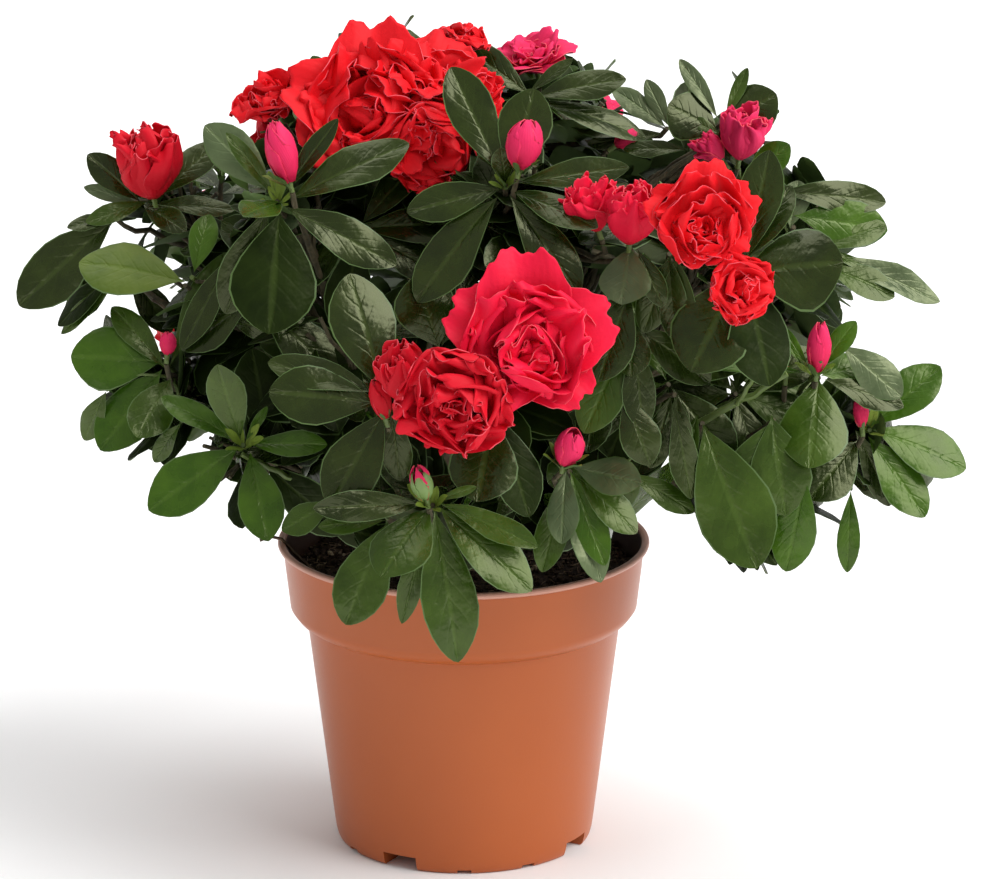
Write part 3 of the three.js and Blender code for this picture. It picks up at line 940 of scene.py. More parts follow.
def openBloom(kind, tint, size, heart, axis, crest, lead):
    # heart is the middle of an open flower, or the foot of a bud
    axis = unit(axis)
    standing = kind in closedKinds or kind == "half"
    cut = petalGrade(kind, tint, size, lead)
    base = heart if standing else heart - axis * 0.42 * size * mm
    bloom = {
        "size": size, "base": base, "axis": axis, "crest": crest, "lead": lead,
        "closed": kind in closedKinds,
        "centre": heart + axis * (0.5 * size * mm if standing else 0),
        "radius": size * (0.35 if standing else 0.8) * mm,
    }
    blooms.append(bloom)
    spin = 0.0 if kind == "crested" else dice.uniform(0, 6.28)
    sheets = petalSheets.setdefault(tint, {name: [] for name in petalCut})
    for k, ring in enumerate(flowerRings[kind]):
        # the ruffled heart of a crested flower sits below its middle
        shifted = dict(bloom, base=base - sideways(axis)[0] * crest * 0.55 * min(k, 2) * size * mm / 2)
        for i in range(ring[0]):
            turn = spin + k * 1.1 + (i + dice.uniform(-0.15, 0.15)) * 2 * math.pi / ring[0]
            sheets[cut].append(petalSheet(shifted, turn, ring, cut))
    if kind == "green":
        shell = dict(bloom, size=size * 0.84)
        scales = petalSheets.setdefault("scale", {name: [] for name in petalCut})
        for i in range(6):
            scales["plain"].append(petalSheet(shell, i * 1.05, budScale, "plain"))
    return bloom


# the flowers of the front; a separate script worked out their places, later adjusted by eye: kind, petal
# colour, size, mass, mm from the middle of the mass, clock and lean of the axis, and how much longer
# the upper petals are
leadFlowers = [
    ("crested", "scarlet", 29, "top", (-9, -28, 7), 350, 60, 0.12),
    ("open", "scarlet", 24, "top", (8, -22, 15), 16, 42, 0.0),
    ("frilled", "scarlet", 17, "top", (8, -34, -2), 150, 60, 0.0),
    ("frilled", "scarlet", 13, "top", (22, -16, 10), 60, 30, 0.0),
    ("frilled", "scarlet", 13.5, "top", (-40, -13, 7), 335, 28, 0.0),
    ("frilled", "scarlet", 9, "top", (19, 6, 22), 20, 10, 0.0),
    ("crested", "rose", 27, "front_centre", (7, -31, 13), 5, 82, 0.14),
    ("frilled", "crimson", 20, "front_centre", (-15, -36, -2), 205, 62, 0.0),
    ("half", "crimson", 19, "front_left", (22, -30, -3), 336, 25, 0.0),
    ("bud", "crimson", 13, "front_left", (13, -28, -8), 345, 20, 0.0),
    ("crested", "scarlet", 18.5, "right_front", (-8, -35, 13), 20, 70, 0.16),
    ("frilled", "scarlet", 12.5, "right_front", (3, -40, -6), 100, 62, 0.0),
    ("half", "rose", 18, "upper_centre", (33, -35, -7), 4, 30, 0.0),
    ("half", "rose", 16, "upper_centre", (24, -27, -5), 340, 20, 0.0),
    ("half", "crimson", 22, "left_high", (-7, -17, 4), 350, 20, 0.0),
    ("bud", "pink", 20, "upper_left", (-1, -28, 16), 345, 14, 0.0),
    ("egg", "pink", 17, "upper_centre", (0, -27, 14), 12, 10, 0.0),
    ("open", "pink", 14.5, "top_right", (-6, -8, 18), 345, 30, 0.0),
    ("half", "pink", 16, "right_top", (7, -18, -2), 8, 22, 0.0),
    ("half", "pink", 10, "right_top", (2, -17, -3), 318, 10, 0.0),
    ("bud", "pink", 16, "right_branch", (-19, -27, 29), 5, 15, 0.0),
    ("egg", "pink", 14, "front_right_low", (-8, -32, 22), 18, 30, 0.0),
    ("green", "pink", 12, "front_low", (3, -29, 25), 345, 22, 0.0),
    ("egg", "pink", 8, "left_low", (3, -22, 16), 5, 15, 0.0),
    ("egg", "pink", 9, "right_top", (-31, -3, -1), 55, 10, 0.0),
    ("bud", "pink", 10, "right_branch", (-4, -19, 9), 355, 10, 0.0),
    ("bud", "crimson", 4, "right_branch", (-28, -17, 25), 0, 10, 0.0),
]

# the shoots of the front; a separate script worked out most of these numbers, later adjusted by eye:
# mass, tip in mm from its middle, tint, how many young leaves, leaves of another tint by their place in
# the list, and the leaves: clock, length, width, lean, and the seat across and above the tip
# of the tints here, the darkest is painted shade on leaves in shadow, the greyest a painted sheen
leadShoots = [
    ("left_foot", (-1, -15, 7), "fresh", 8, {3: "mid"}, [
        (237, 30, 0.56, 10, -3, -2), (175, 25, 0.54, 35, 6, -6), (305, 25, 0.34, 0, -3, 2),
        (345, 25, 0.46, 45, -2, 4), (90, 23, 0.37, 30, 4, 1), (30, 10, 0.3, 0, 2, 3)]),
    ("left_low", (2, -18, 12), "fresh", 0, {}, [(276, 26, 0.76, 10, -2, 1), (222, 27, 0.62, 10, -2, -5)]),
    ("left_low", (3, -20, 9), "mid", 0, {}, [
        (218, 22, 0.62, 38, 3, -3), (320, 22, 0.4, 0, -2, 5), (25, 33, 0.28, 0, 2, 8),
        (209, 18, 0.44, -15, -19, -5), (220, 16, 0.4, -20, 4, -15)]),
    ("left_high", (-9, -14, 1), "dark", 0, {1: "sheen", 2: "mid"}, [
        (320, 17, 0.55, 10, -7, 3), (295, 13, 0.36, 0, -8, 1), (245, 21, 0.3, 20, 0, 4),
        (115, 21, 0.4, 30, -6, 2), (45, 18, 0.6, 0, 8, 8), (90, 24, 0.3, 10, 2, 1)]),
    ("left_high", (-19, -16, -3), "dark", 0, {}, [(231, 39, 0.47, 0, -1, 0), (255, 14, 0.4, 30, -2, 2)]),
    ("left_far", (8, 4, -2), "dark", 0, {0: "shaded", 1: "mid"}, [
        (236, 22, 0.46, -10, -3, -4), (237, 23, 0.24, -10, 0, -8)]),
    ("left_mid", (-11, -12, 2), "pale", 0, {}, [(283, 32, 0.64, 0, 0, 3)]),
    ("left_mid", (-9, -10, 4), "fresh", 0, {}, [(10, 16, 0.54, 0, 2, 4)]),
    ("upper_left", (-5, -23, 9), "dark", 7, {0: "sheen", 1: "mid", 2: "mid", 6: "shaded"}, [
        (314, 24, 0.54, 5, -3, 7), (324, 22, 0.24, 20, -1, 3), (268, 26, 0.42, 62, 5, -1),
        (35, 20, 0.32, 10, 6, 8), (56, 33, 0.42, 10, 10, 1), (115, 32, 0.4, 10, 6, -4),
        (187, 31, 0.82, 15, 2, -8), (197, 30, 0.44, 0, -7, -4)]),
    ("upper_left", (-13, -12, -24), "dark", 0, {}, [
        (238, 26, 0.52, 0, 0, 0), (210, 32, 0.3, 5, -6, 14), (130, 30, 0.5, 10, 4, -4)]),
    ("upper_centre", (-4, -23, 8), "dark", 9, {}, [
        (335, 30, 0.46, 0, -3, 8), (15, 22, 0.72, 10, 3, 7), (80, 28, 0.34, 10, 8, 2),
        (106, 26, 0.42, 30, 4, -4), (260, 27, 0.42, 10, -2, -2), (350, 11, 0.6, 45, 0, 2),
        (140, 30, 0.45, 15, 3, -8), (225, 32, 0.5, 10, -6, -9)]),
    ("top_right", (-7, -30, 9), "dark", 0, {}, [
        (75, 27, 0.4, 10, 2, 1), (100, 33, 0.3, 0, 4, -2), (306, 27, 0.4, 0, 0, 3),
        (62, 16, 0.26, 0, -2, 5)]),
    ("top_right", (36, -24, -2), "dark", 0, {0: "sheen", 2: "sheen"}, [
        (310, 21, 0.36, 0, 0, 0), (270, 22, 0.3, 5, -2, -4), (330, 16, 0.36, 0, 2, 1)]),
    ("right_top", (2, -8, 7), "dark", 0, {0: "sheen", 1: "mid"}, [
        (332, 19, 0.3, 0, -3, 4), (20, 14, 0.3, 0, 3, 4), (50, 18, 0.85, 15, 2, -2),
        (318, 19, 0.85, 15, -3, -8), (275, 20, 0.3, 0, -10, -8), (345, 14, 0.6, 25, 5, -14)]),
    ("right_top", (9, -14, -9), "fresh", 0, {1: "mid"}, [
        (50, 16, 0.6, 12, 1, 0), (300, 9, 0.5, 10, -8, 14)]),
    ("right_front", (5, -14, -7), "dark", 0, {3: "shaded"}, [
        (78, 31, 0.84, 12, -2, -3), (30, 22, 0.5, 0, 2, 7), (205, 30, 0.78, 12, -3, -2),
        (160, 29, 0.7, 12, 0, -6), (8, 26, 0.5, 10, 4, 9)]),
    ("right_front", (-29, -16, 0), "dark", 0, {0: "sheen"}, [
        (190, 19, 0.8, 25, 0, 2), (165, 17, 0.42, 10, 6, 0), (200, 28, 0.5, 10, 0, -12)]),
    ("right_far", (-15, -20, 11), "dark", 0, {1: "fresh", 2: "sheen"}, [
        (92, 34, 0.3, 0, -5, 11), (107, 31, 0.46, 0, 0, 10), (15, 17, 0.54, 0, -3, -2)]),
    ("right_far", (-7, -22, 2), "mid", 0, {}, [
        (74, 25, 0.36, 0, -4, 5), (95, 22, 0.5, 10, 2, -8), (100, 17, 0.24, 0, 0, 2)]),
    ("right_far", (-5, -21, 2), "dark", 0, {0: "sheen"}, [(110, 36, 0.26, 0, 3, 1)]),
    ("right_branch", (-18, -22, 26), "dark", 0, {0: "sheen", 2: "fresh"}, [
        (129, 24, 0.5, 0, 7, 10), (105, 22, 0.4, 0, 5, -2), (75, 16, 0.7, -20, 2, 1)]),
    ("right_branch", (-18, -23, 26), "mid", 0, {}, [(188, 29, 0.72, 35, 0, 0)]),
    ("right_low", (-3, 12, 34), "dark", 0, {3: "mid", 4: "shaded"}, [
        (205, 28, 0.5, 10, 0, 0), (150, 27, 0.5, 10, 2, -2), (250, 27, 0.45, 0, -3, 0),
        (100, 26, 0.45, 0, 3, 0), (20, 24, 0.5, 0, 2, 3), (320, 26, 0.5, 0, -2, 3)]),
    ("right_inner", (2, 9, -6), "dark", 0, {2: "mid", 4: "mid"}, [
        (200, 28, 0.5, 10, 0, 0), (140, 27, 0.55, 10, 2, -2), (265, 27, 0.45, 0, -3, 0),
        (60, 26, 0.45, 0, 3, 0), (340, 26, 0.5, 0, -2, 3)]),
    ("upper_left", (19, 4, -6), "dark", 0, {2: "shaded"}, [
        (85, 30, 0.4, 10, 0, 0), (110, 28, 0.45, 15, 2, -4), (190, 28, 0.5, 10, 0, -4),
        (230, 27, 0.45, 5, -3, 0), (40, 26, 0.45, 5, 2, 3)]),
    ("left_far", (9, 13, -5), "dark", 0, {}, [
        (238, 25, 0.46, -10, 0, 0), (262, 22, 0.4, 0, 2, 3), (150, 22, 0.45, 0, 4, 0)]),
    ("right_branch", (-19, -21, 27), "fresh", 4, {}, [
        (30, 15, 0.46, 10, 4, 3), (355, 12, 0.26, 0, -9, 2), (338, 13, 0.26, 0, -5, 2),
        (282, 26, 0.22, 0, -8, 0)]),
    ("right_branch", (-1, -12, 6), "fresh", 3, {}, [
        (52, 27, 0.5, 0, 0, 3), (109, 30, 0.55, 5, 2, 1), (136, 28, 0.5, 10, -2, -5)]),
    ("right_branch", (-4, -14, 4), "dark", 0, {2: "fresh"}, [
        (151, 32, 0.26, 0, -5, 8), (222, 23, 0.68, 35, -2, -2), (183, 25, 0.28, 0, -3, -16)]),
    ("right_low", (-12, -23, 28), "mid", 0, {}, [
        (160, 45, 0.52, 10, 0, 0), (155, 24, 0.38, 0, -9, -2), (190, 22, 0.36, 0, -4, 8),
        (119, 23, 0.33, 0, -23, -15)]),
    ("right_low", (10, -20, 28), "mid", 0, {1: "fresh"}, [
        (170, 33, 0.57, 10, -2, 5), (192, 29, 0.46, 0, 10, -17), (205, 26, 0.5, 10, -1, 0)]),
    ("front_low", (5, -25, 22), "mid", 6, {0: "dark"}, [
        (268, 31, 0.3, 30, -5, 1), (222, 25, 0.78, 38, -2, -2), (170, 44, 0.39, 5, 1, -2),
        (131, 34, 0.45, 15, 4, -1), (114, 29, 0.3, 20, 5, 2), (196, 28, 0.26, 0, -2, -8),
        (345, 8, 0.3, 0, -5, 3), (70, 10, 0.3, 10, 3, 3)]),
    ("front_low", (-8, -22, 16), "mid", 0, {}, [
        (204, 32, 0.5, 10, -1, 0), (266, 18, 0.36, 20, -3, 1), (243, 17, 0.55, 0, -17, 6)]),
    ("front_low", (23, -10, 46), "dark", 0, {1: "shaded"}, [
        (190, 26, 0.78, 20, 0, 0), (165, 30, 0.5, 5, 4, 0)]),
    ("front_right_low", (-6, -22, 17), "mid", 0, {0: "sheen", 1: "sheen", 3: "sheen", 4: "fresh"}, [
        (181, 23, 0.42, 20, -3, 2), (108, 21, 0.58, 35, 3, 3), (130, 20, 0.55, 20, 6, -4),
        (160, 23, 0.48, 10, 2, -11), (160, 30, 0.32, 10, 0, 1), (190, 24, 0.4, 5, -4, -6)]),
    ("front_left", (12, -25, -4), "dark", 0, {}, [
        (342, 31, 0.63, 8, 1, 8), (281, 31, 0.56, 12, -2, -1), (282, 30, 0.36, 0, -3, 8),
        (185, 20, 0.46, 0, 7, -3), (218, 30, 0.57, 10, 3, -6), (340, 7, 0.45, 0, -3, 3)]),
    ("front_left", (29, -4, 7), "dark", 0, {}, [(345, 23, 0.82, 30, 0, 0), (20, 22, 0.5, 0, 2, 2)]),
    ("right_inner", (23, 12, -10), "dark", 0, {0: "shaded", 2: "mid"}, [
        (15, 24, 0.5, 0, 0, 2), (65, 26, 0.5, 0, 2, 2), (110, 26, 0.5, 5, 2, 0),
        (160, 24, 0.5, 10, 0, -2), (215, 26, 0.5, 5, -2, -2), (265, 24, 0.5, 0, -2, 0),
        (315, 24, 0.5, 0, -2, 2)]),
    ("right_inner", (-11, -21, 20), "dark", 0, {0: "mid"}, [
        (204, 28, 0.5, 10, -2, -5), (180, 22, 0.54, 20, 0, 8), (172, 22, 0.5, 10, 2, -8),
        (158, 22, 0.55, 10, -2, -20), (130, 26, 0.45, 5, 4, 2)]),
]

# set last, these cover the boughs that would show at the right
coverShoots = [
    ("right_front", (-17, -10, -3), "dark", 0, {}, [
        (205, 24, 0.42, 0, 2, -1), (188, 25, 0.46, 5, 6, -1), (177, 21, 0.46, 5, -1, 0)]),
    ("right_inner", (3, -14, -3), "dark", 0, {}, [
        (183, 19, 0.44, 0, 2, 1), (164, 24, 0.4, 0, -1, -8), (192, 22, 0.42, 0, -3, 0)]),
]

# stems of this year seen between the leaves: mm, foot, tip and thickness
greenStems = [
    ((72, -60, 155), (99, -70, 174), 1.3), ((84, -66, 163), (90, -72, 176), 0.8),
    ((-46, -62, 136), (-68, -71, 149), 1.1),
]


def massSpot(mass, offset):
    return massBox(mass)[0] + np.array(offset, float) * mm


def sepals(bloom):
    # five small green scales that hold the foot of a flower
    for i in range(5):
        way = swing(bloom["axis"], i * 72 + dice.uniform(-15, 15), dice.uniform(30, 50))
        long = min(6.5, 0.36 * bloom["size"]) * dice.uniform(0.8, 1.15)
        foot = bloom["base"] - bloom["axis"] * mm
        addLeaf("fresh", foot, way, bloom["axis"], long, 0.36, bend=-0.5, fold=0.3)


def stalk(mass, bloom):
    # it comes up behind the flower, as seen from the front
    axis = bloom["axis"]
    foot = bloom["base"] - axis * 3 * mm
    begin, way = nearestSpine(mass, foot)
    arrive = axis + frontNear * (0.9 if bloom["lead"] else 0)
    addTwig(begin, way, foot, arrive, 1.0, 0.85, False)
    addTwig(foot, axis, bloom["base"] + axis * mm, axis, 0.8, 1.0, True)


def placeFlower(kind, tint, size, mass, heart, axis, crest=0.0, lead=False):
    bloom = openBloom(kind, tint, size, heart, axis, crest, lead)
    sepals(bloom)
    if lead and size > flowerLimits["bracts"] and kind in ("bud", "egg"):
        tuft(bloom["base"], bloom["axis"], 7, "young", 11)
    stalk(mass, bloom)


# a shoot is a twig with its leaves in a whorl near the tip. long: a leaf's length in mm, and width: its
# share of that; turn: degrees from leaf to leaf; whorl: how far down the twig it reaches; older: where
# the leaves below it sit; apart: mm between two tips; perMass: how many shoots are tried on a mass; and
# dark: the share of the masses whose leaves are dark
# every so many shoots on a mass take the lighter, greyer tint: a painted sheen
shootHabit = {
    "long": (26, 37), "width": (0.42, 0.58), "turn": 137.5, "whorl": 6, "older": (0.4, 0.55, 0.68, 0.8),
    "leaves": (7, 10), "size": (0.85, 1.1), "apart": 15, "sheenEvery": 9, "perMass": 17, "dark": 0.75,
}
# mm: a leaf of a front shoot is drawn in to the shoot's tip if it sits within "onTip" of it, and has a stem
# of its own if farther out; "stretch" makes up for the leaf's arch
leadHabit = {"stretch": 1.06, "onTip": 12, "pull": 0.35, "young": 12}
crownHeart = np.array([0, 0, 150]) * mm
shootTips = []
leadTips = []
leadSpots = []
massRounds = [massBox(mass) for mass in massNames]


def nearestSpine(mass, spot):
    # the place on the mass's bough from which a twig runs to the spot: three steps below the nearest
    path, _ = spines[mass]
    first = wood["firstTwig"]
    away = np.linalg.norm(path[first:-1] - spot, axis=1)
    cost = away + np.linspace(3, 0, len(away)) * mm
    k = max(first, first + int(np.argmin(cost)) - 3)
    return path[k], path[min(k + 1, len(path) - 1)] - path[k]


# places where one sees through between the sprays from the front: mm, and the radius left open
openings = [
    ((67, 0, 107), 12), ((80, 0, 92), 6), ((73, 0, 87), 8), ((91, 0, 85), 6), ((62, 0, 123), 5),
    ((52, 0, 255), 8), ((62, 0, 247), 7), ((-106, 0, 171), 7), ((-85, 0, 135), 6), ((-78, 0, 113), 6),
    ((-55, 0, 119), 7), ((148, 0, 141), 6), ((152, 0, 136), 6), ((-132, 0, 204), 7),
]
# mm: the peat shows over the pot's lip in front, and the crown steps in high at the right
peatView = {"beside": 70, "behind": 10, "under": 122}
rightStep = {"out": 116, "over": 175}
# mm: how far other leaves keep from a leading flower, the tip of a leading shoot and its leaves
keepClear = {"flower": 7, "tip": 21, "leaf": 8}


def fromFront(spot, middle):
    # how far nearer than the middle the spot is, and how far beside it, for someone at the front
    away = spot - middle
    ahead = away @ frontNear
    return ahead, np.linalg.norm(away - np.multiply.outer(ahead, frontNear), axis=-1)


def outside(spot):
    # beyond the masses, in one of the openings, or where the peat or the sky shows
    if any(fromFront(spot, np.array(middle) * mm)[1] < radius * mm for middle, radius in openings):
        return True
    x, y, z = spot / mm
    if abs(x) < peatView["beside"] and y < peatView["behind"] and z < peatView["under"]:
        return True
    if x > rightStep["out"] and z > rightStep["over"]:
        return True
    return min(np.sum(((spot - middle) / half) ** 2) for middle, half in massRounds) > 1.08


def inTheWay(spot):
    # whether a leaf at the spot would hang in front of an open flower or a leading shoot
    for bloom in blooms:
        away = spot - bloom["centre"]
        ahead = np.dot(away, bloom["axis"])
        beside = np.linalg.norm(away - bloom["axis"] * ahead)
        if -0.3 * bloom["radius"] < ahead < 1.8 * bloom["radius"] and beside < bloom["radius"]:
            return True
        ahead, beside = fromFront(spot, bloom["centre"])
        if bloom["lead"] and ahead > 0 and beside < bloom["radius"] + keepClear["flower"] * mm:
            return True
    ahead, beside = fromFront(spot, np.array(leadTips))
    if np.any((ahead > -5 * mm) & (beside < keepClear["tip"] * mm)):
        return True
    ahead, beside = fromFront(spot, np.array(leadSpots))
    return bool(np.any((ahead > -4 * mm) & (beside < keepClear["leaf"] * mm)))


def fits(base, way, long, free=False):
    middle, end = base + way * long * 0.6 * mm, base + way * long * mm
    return not inTheWay(middle) and (free or not outside(middle) and not outside(end))


def tuft(tip, axis, count, tint, longest):
    # the small new leaves at the very tip
    for i in range(count):
        way = swing(axis, i * shootHabit["turn"] + dice.uniform(0, 40), dice.uniform(12, 50))
        long = longest * dice.uniform(0.55, 1)
        addLeaf(tint, tip - axis * 2 * mm, way, axis, long, dice.uniform(0.25, 0.36), 0.3, 0.25)


def leadShoot(mass, offset, tint, young, mixed, leaves):
    tip = massSpot(mass, offset)
    axis = unit(frontNear + 0.5 * unit(tip - crownHeart) + 0.3 * zAxis)
    begin, way = nearestSpine(mass, tip)
    addTwig(begin, way, tip, unit(axis + frontNear), 1.2, 0.8, tint == "fresh")
    for i, (clock, long, width, lean, across, above) in enumerate(leaves):
        long = long * leadHabit["stretch"]
        aside = (np.array([1.0, 0, 0]) * across + frontUp * above) * mm
        near = math.hypot(across, above) < leadHabit["onTip"]
        seat = tip + aside * (leadHabit["pull"] if near else 1)
        reach = tip + aside + frontWay(clock, lean) * long * mm - seat
        length = np.linalg.norm(reach) / mm
        leadSpots.extend(seat + reach * share for share in (0.4, 0.7, 0.95))
        if not near:
            addTwig(tip - axis * 6 * mm, axis, seat - frontNear * mm, reach, 0.5, 0.4, True)
        upper = frontNear + 0.35 * frontUp + dice.normal(0, 0.12, 3)
        addLeaf(
            mixed.get(i, tint), seat, unit(reach), upper, length, width * long / length,
            bend=dice.uniform(0.2, 0.5), fold=dice.uniform(0.04, 0.2),
            twist=dice.normal(0, 0.15), wave=dice.uniform(0.01, 0.04), kind="fine",
        )
    tuft(tip, unit(axis + 0.6 * zAxis), young, "young", leadHabit["young"])
    leadTips.append(tip)
    shootTips.append(tip)


def growShoot(mass, tip, axis, count, size, tint, free=False):
    axis = unit(axis)
    begin, beginWay = nearestSpine(mass, tip)
    path = twigPath(begin, beginWay, tip, axis)
    spin = dice.uniform(0, 360)
    seats = []
    for i in range(count):
        share = i / (count - 1)
        clock = spin + i * shootHabit["turn"] + dice.normal(0, 9)
        opening = 90 - 60 * share**1.3 + dice.normal(0, 7)
        way = swing(axis, clock, opening) - zAxis * 0.08
        long = dice.uniform(*shootHabit["long"]) * size * (1 - 0.45 * share**2)
        seats.append((tint, tip - axis * (1 - share) * shootHabit["whorl"] * mm, way, axis, long))
    for share in shootHabit["older"]:
        k = int(share * (len(path) - 1))
        run = unit(path[k + 1] - path[k])
        way = swing(run, dice.uniform(0, 360), dice.uniform(55, 85))
        long = dice.uniform(*shootHabit["long"]) * size * 0.95
        # the older leaves below the whorl take the darkest tint: painted shade for the inside of the crown
        seats.append(("shaded", path[k], way, run + zAxis * 0.4, long))
    seats = [seat for seat in seats if fits(seat[1], seat[2], seat[4], free)]
    if len(seats) < 3:
        return
    keepTwig(path, 1.15, 0.75, False)
    for tint, base, way, upper, long in seats:
        addLeaf(
            tint, base, way, upper, long, dice.uniform(*shootHabit["width"]),
            bend=dice.uniform(0.25, 0.75), fold=dice.uniform(0.02, 0.2), twist=dice.normal(0, 0.2),
            wave=dice.uniform(0.01, 0.05),
        )
    if not inTheWay(tip) and not outside(tip + axis * 9 * mm):
        tuft(tip, axis, 3, "fresh", 9)
    shootTips.append(tip)


# shoots that close the crown between its masses at the right: mass, mm from its middle, and the
# azimuth and height they look to
bridgeShoots = [
    ("right_top", (-4, 34, -30), 80, 60), ("right_top", (16, 30, -40), 60, 55),
    ("right_top", (-20, 44, -28), 100, 55), ("right_top", (8, 52, -42), 80, 50),
    ("right_top", (-10, 30, -60), 90, 40), ("right_top", (12, 40, -66), 70, 40),
    ("back_right_far", (-20, 12, 22), 60, 55), ("back_right_far", (-2, 22, 10), 60, 40),
    ("right_top", (-36, 22, -28), 60, 60), ("right_far", (-14, 22, -8), 60, 55),
]


def fillMass(mass, tint):
    # shoots spread evenly over the outside of a mass, facing out of the crown
    centre, half = massBox(mass)
    turnOffset = dice.uniform(0, 6.28)
    for i in range(shootHabit["perMass"]):
        z = 1 - 2 * (i + 0.5) / shootHabit["perMass"]
        r = math.sqrt(1 - z * z)
        a = turnOffset + i * math.radians(137.508)
        around = np.array([r * math.cos(a), r * math.sin(a), z])
        tip = centre + around * half * dice.uniform(0.45, 0.62)
        outward = unit((centre + around * half) - crownHeart)
        if np.dot(around, outward) < -0.2:
            continue
        if any(np.linalg.norm(tip - other) < shootHabit["apart"] * mm for other in shootTips):
            continue
        axis = unit(outward * 0.9 + around * 0.5 + zAxis * 0.35 + dice.normal(0, 0.15, 3))
        count, size = int(dice.integers(*shootHabit["leaves"])), dice.uniform(*shootHabit["size"])
        # now and then a shoot takes the lighter, greyer tint: a painted sheen
        sheen = len(shootTips) % shootHabit["sheenEvery"] == 0
        growShoot(mass, tip, axis, count, size, "sheen" if sheen else tint)


for kind, tint, size, mass, offset, clock, lean, crest in leadFlowers:
    placeFlower(kind, tint, size, mass, massSpot(mass, offset), frontWay(clock, lean), crest, lead=True)

# kind, petal colour, size, mass, and the azimuth and height it looks to, on the sides and the back
backFlowers = [
    ("open", "scarlet", 24, "back_left_top", 122, -14),
    ("frilled", "crimson", 17, "back_left_top", 145, 0),
    ("open", "rose", 25, "back_centre", 80, 20),
    ("half", "pink", 15, "back_right_top", 75, -10),
    ("frilled", "scarlet", 18, "back_right", 62, 5),
    ("egg", "pink", 15, "back_left", 112, 0),
    ("bud", "pink", 14, "back_right_far", 62, -8),
    ("open", "scarlet", 19, "back_right_far", 85, 5),
    ("half", "crimson", 17, "back_left_low", 112, 5),
    ("frilled", "rose", 16, "back_left", 95, -25),
    ("bud", "pink", 14, "back_centre_low", 100, 20),
    ("egg", "pink", 12, "back_right_low", 70, 10),
]
for kind, tint, size, mass, azimuth, height in backFlowers:
    outward = heading(azimuth, height)
    centre, half = massBox(mass)
    placeFlower(kind, tint, size, mass, centre + outward * half * 0.9, outward)

innerLeaves = {"twigs": 18, "from": 0.3}


def clotheBough(mass):
    # the older leaves low on the side twigs, which close the crown behind the shoots
    path, _ = spines[mass]
    centre, half = massBox(mass)
    for _ in range(innerLeaves["twigs"]):
        seat = path[int(len(path) * dice.uniform(innerLeaves["from"], 0.95))]
        reach = unit(dice.normal(0, 1, 3))
        end = centre + reach * half * dice.uniform(0.25, 0.65)
        twig = twigPath(seat, unit(path[-1] - path[-3]), end, reach)
        leaves = []
        for k in (4, 6, 8):
            way = swing(unit(twig[k] - twig[k - 2]), dice.uniform(0, 360), dice.uniform(35, 80))
            upper = unit(twig[k] - crownHeart) + 0.5 * zAxis + dice.normal(0, 0.3, 3)
            leaves.append((twig[k], way, upper, dice.uniform(*shootHabit["long"]) * 0.95))
        leaves = [leaf for leaf in leaves if fits(leaf[0], leaf[1], leaf[3])]
        if leaves:
            keepTwig(twig, 0.9, 0.6, False)
        for base, way, upper, long in leaves:
            width = dice.uniform(*shootHabit["width"])
            bend, fold = dice.uniform(0.2, 0.6), dice.uniform(0.02, 0.2)
            # these inner leaves take the darkest tint: painted shade for the inside of the crown
            addLeaf("shaded", base, way, upper, long, width, bend, fold)


for shoot in leadShoots:
    leadShoot(*shoot)
for begin, end, thick in greenStems:
    begin, end = np.array(begin) * mm, np.array(end) * mm
    addTwig(begin, end - begin, end, end - begin + zAxis * 4 * mm, thick, thick * 0.8, True)
for mass, offset, azimuth, height in bridgeShoots:
    growShoot(mass, massSpot(mass, offset), heading(azimuth, height), 9, 1.05, "dark", free=True)
for mass in massNames:
    fillMass(mass, "dark" if dice.random() < shootHabit["dark"] else "mid")
    clotheBough(mass)
for shoot in coverShoots:
    leadShoot(*shoot)
print(len(blooms), "flowers,", len(shootTips), "shoots,", len(leafList), "leaves")

# each finish: the darker and the lighter colour, then roughness and shine
petalMaterials = {
    "scarlet": petalFinish("petalScarlet", (0.52, 0.003, 0.006), (0.80, 0.010, 0.018)),
    "rose": petalFinish("petalRose", (0.54, 0.003, 0.016), (0.82, 0.010, 0.050)),
    "crimson": petalFinish("petalCrimson", (0.40, 0.002, 0.008), (0.64, 0.006, 0.020)),
    "pink": petalFinish("petalPink", (0.55, 0.008, 0.05), (0.80, 0.03, 0.13)),
    "scale": plainFinish("budScale", (0.12, 0.20, 0.05), (0.22, 0.33, 0.10), 0.5),
}
# a paler pink on the thin rims of the petals: a painted highlight along their edges
petalRimHighlight = Finish("petalRimHighlight", 0.5, colour=(0.76, 0.065, 0.095)).material
petalThickness = 0.28 * mm


def makePetalPieces():
    pieces = []
    for tint, cuts in petalSheets.items():
        name = "petals" + tint.capitalize()
        batches = [(petalBlanks[cut], np.array(sheets)) for cut, sheets in cuts.items() if sheets]
        piece = joinCopies(name, batches, [petalMaterials[tint], petalRimHighlight], 60)
        # the rim faces take the painted highlight of the edges, except on the bud scales
        applyModifier(
            piece, "SOLIDIFY", thickness=petalThickness, offset=0, use_even_offset=False,
            material_offset_rim=0 if tint == "scale" else 1,
        )
        pieces.append(piece)
    return pieces


petalPieces = makePetalPieces()
for piece in petalPieces:
    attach(piece, "root")
print("petals joined:", sum(len(p.data.polygons) for p in petalPieces), "faces")

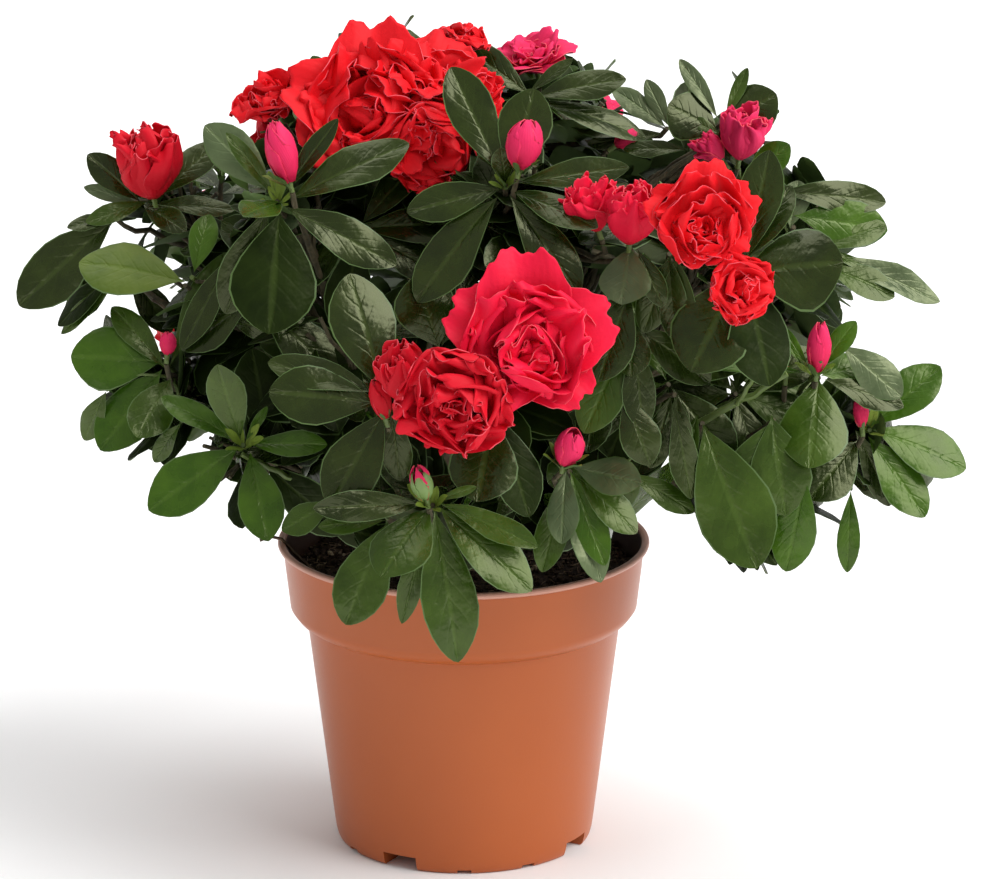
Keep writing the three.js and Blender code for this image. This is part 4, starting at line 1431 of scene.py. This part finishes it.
leafMaterials = {
    "dark": leafFinish("leafDark", (0.0055, 0.0128, 0.0012), (0.0168, 0.0305, 0.0025), 0.25, 0.52),
    # the darkest, dullest leaves: painted shade for leaves inside the crown and leaves in shadow
    "shaded": leafFinish("leafShaded", (0.004, 0.010, 0.001), (0.011, 0.022, 0.002), 0.4, 0.16),
    "mid": leafFinish("leafMid", (0.018, 0.042, 0.003), (0.040, 0.080, 0.007), 0.27, 0.5),
    "fresh": leafFinish("leafFresh", (0.019, 0.060, 0.002), (0.048, 0.114, 0.005), 0.28, 0.48),
    # a lighter, greyer colour with a high shine: a painted sheen on glossy leaves that catch the light
    "sheen": leafFinish("leafSheen", (0.036, 0.060, 0.024), (0.078, 0.114, 0.048), 0.34, 0.9),
    "pale": leafFinish("leafPale", (0.055, 0.095, 0.010), (0.10, 0.145, 0.02), 0.42),
    "young": leafFinish("leafYoung", (0.12, 0.19, 0.02), (0.22, 0.30, 0.045), 0.45),
}
leafUnder = plainFinish("leafUnderside", (0.05, 0.095, 0.016), (0.08, 0.14, 0.028), 0.6)
leafMargin = Finish("leafMargin", 0.45, colour=(0.07, 0.125, 0.028)).material


def makeLeafPieces():
    pieces = []
    for tint, material in leafMaterials.items():
        batches = []
        for kind, blank in leafBlanks.items():
            chosen = [leaf for leaf in leafList if leaf["tint"] == tint and leaf["kind"] == kind]
            if chosen:
                batches.append((blank, placeLeaves(blank, chosen)))
        if batches:
            name = "leaves" + tint.capitalize()
            pieces.append(joinCopies(name, batches, [material, leafUnder, leafMargin], 50))
    return pieces


leafPieces = makeLeafPieces()
for piece in leafPieces:
    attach(piece, "root")
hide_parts(*["foliage_" + mass for mass in massNames])

twigBark = barkFinish("twigBark", 0.002, (0.03, 0.026, 0.012), (0.07, 0.058, 0.026), (0.13, 0.105, 0.055))
twigGreen = plainFinish("youngStem", (0.06, 0.10, 0.018), (0.12, 0.17, 0.035), 0.5)


def makeTwigs(name, green, material):
    chosen = [twig for twig in twigList if twig["green"] == green]
    paths, radii = ([twig[key] for twig in chosen] for key in ("path", "radius"))
    piece = strands(name, paths, radii, 6, material)
    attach(piece, "root")


makeTwigs("twigs", False, twigBark)
makeTwigs("youngStems", True, twigGreen)
print("leaves and twigs joined")


def makeFloor():
    floor = start(bpy.ops.mesh.primitive_plane_add, size=9, location=(0, 0, -0.0002))
    bpy.ops.mesh.subdivide(number_cuts=3)
    white = Finish("paleFloor", 0.9, colour=(studio["floor"],) * 3)
    finishPiece(floor, "floor", [white.material])


makeFloor()
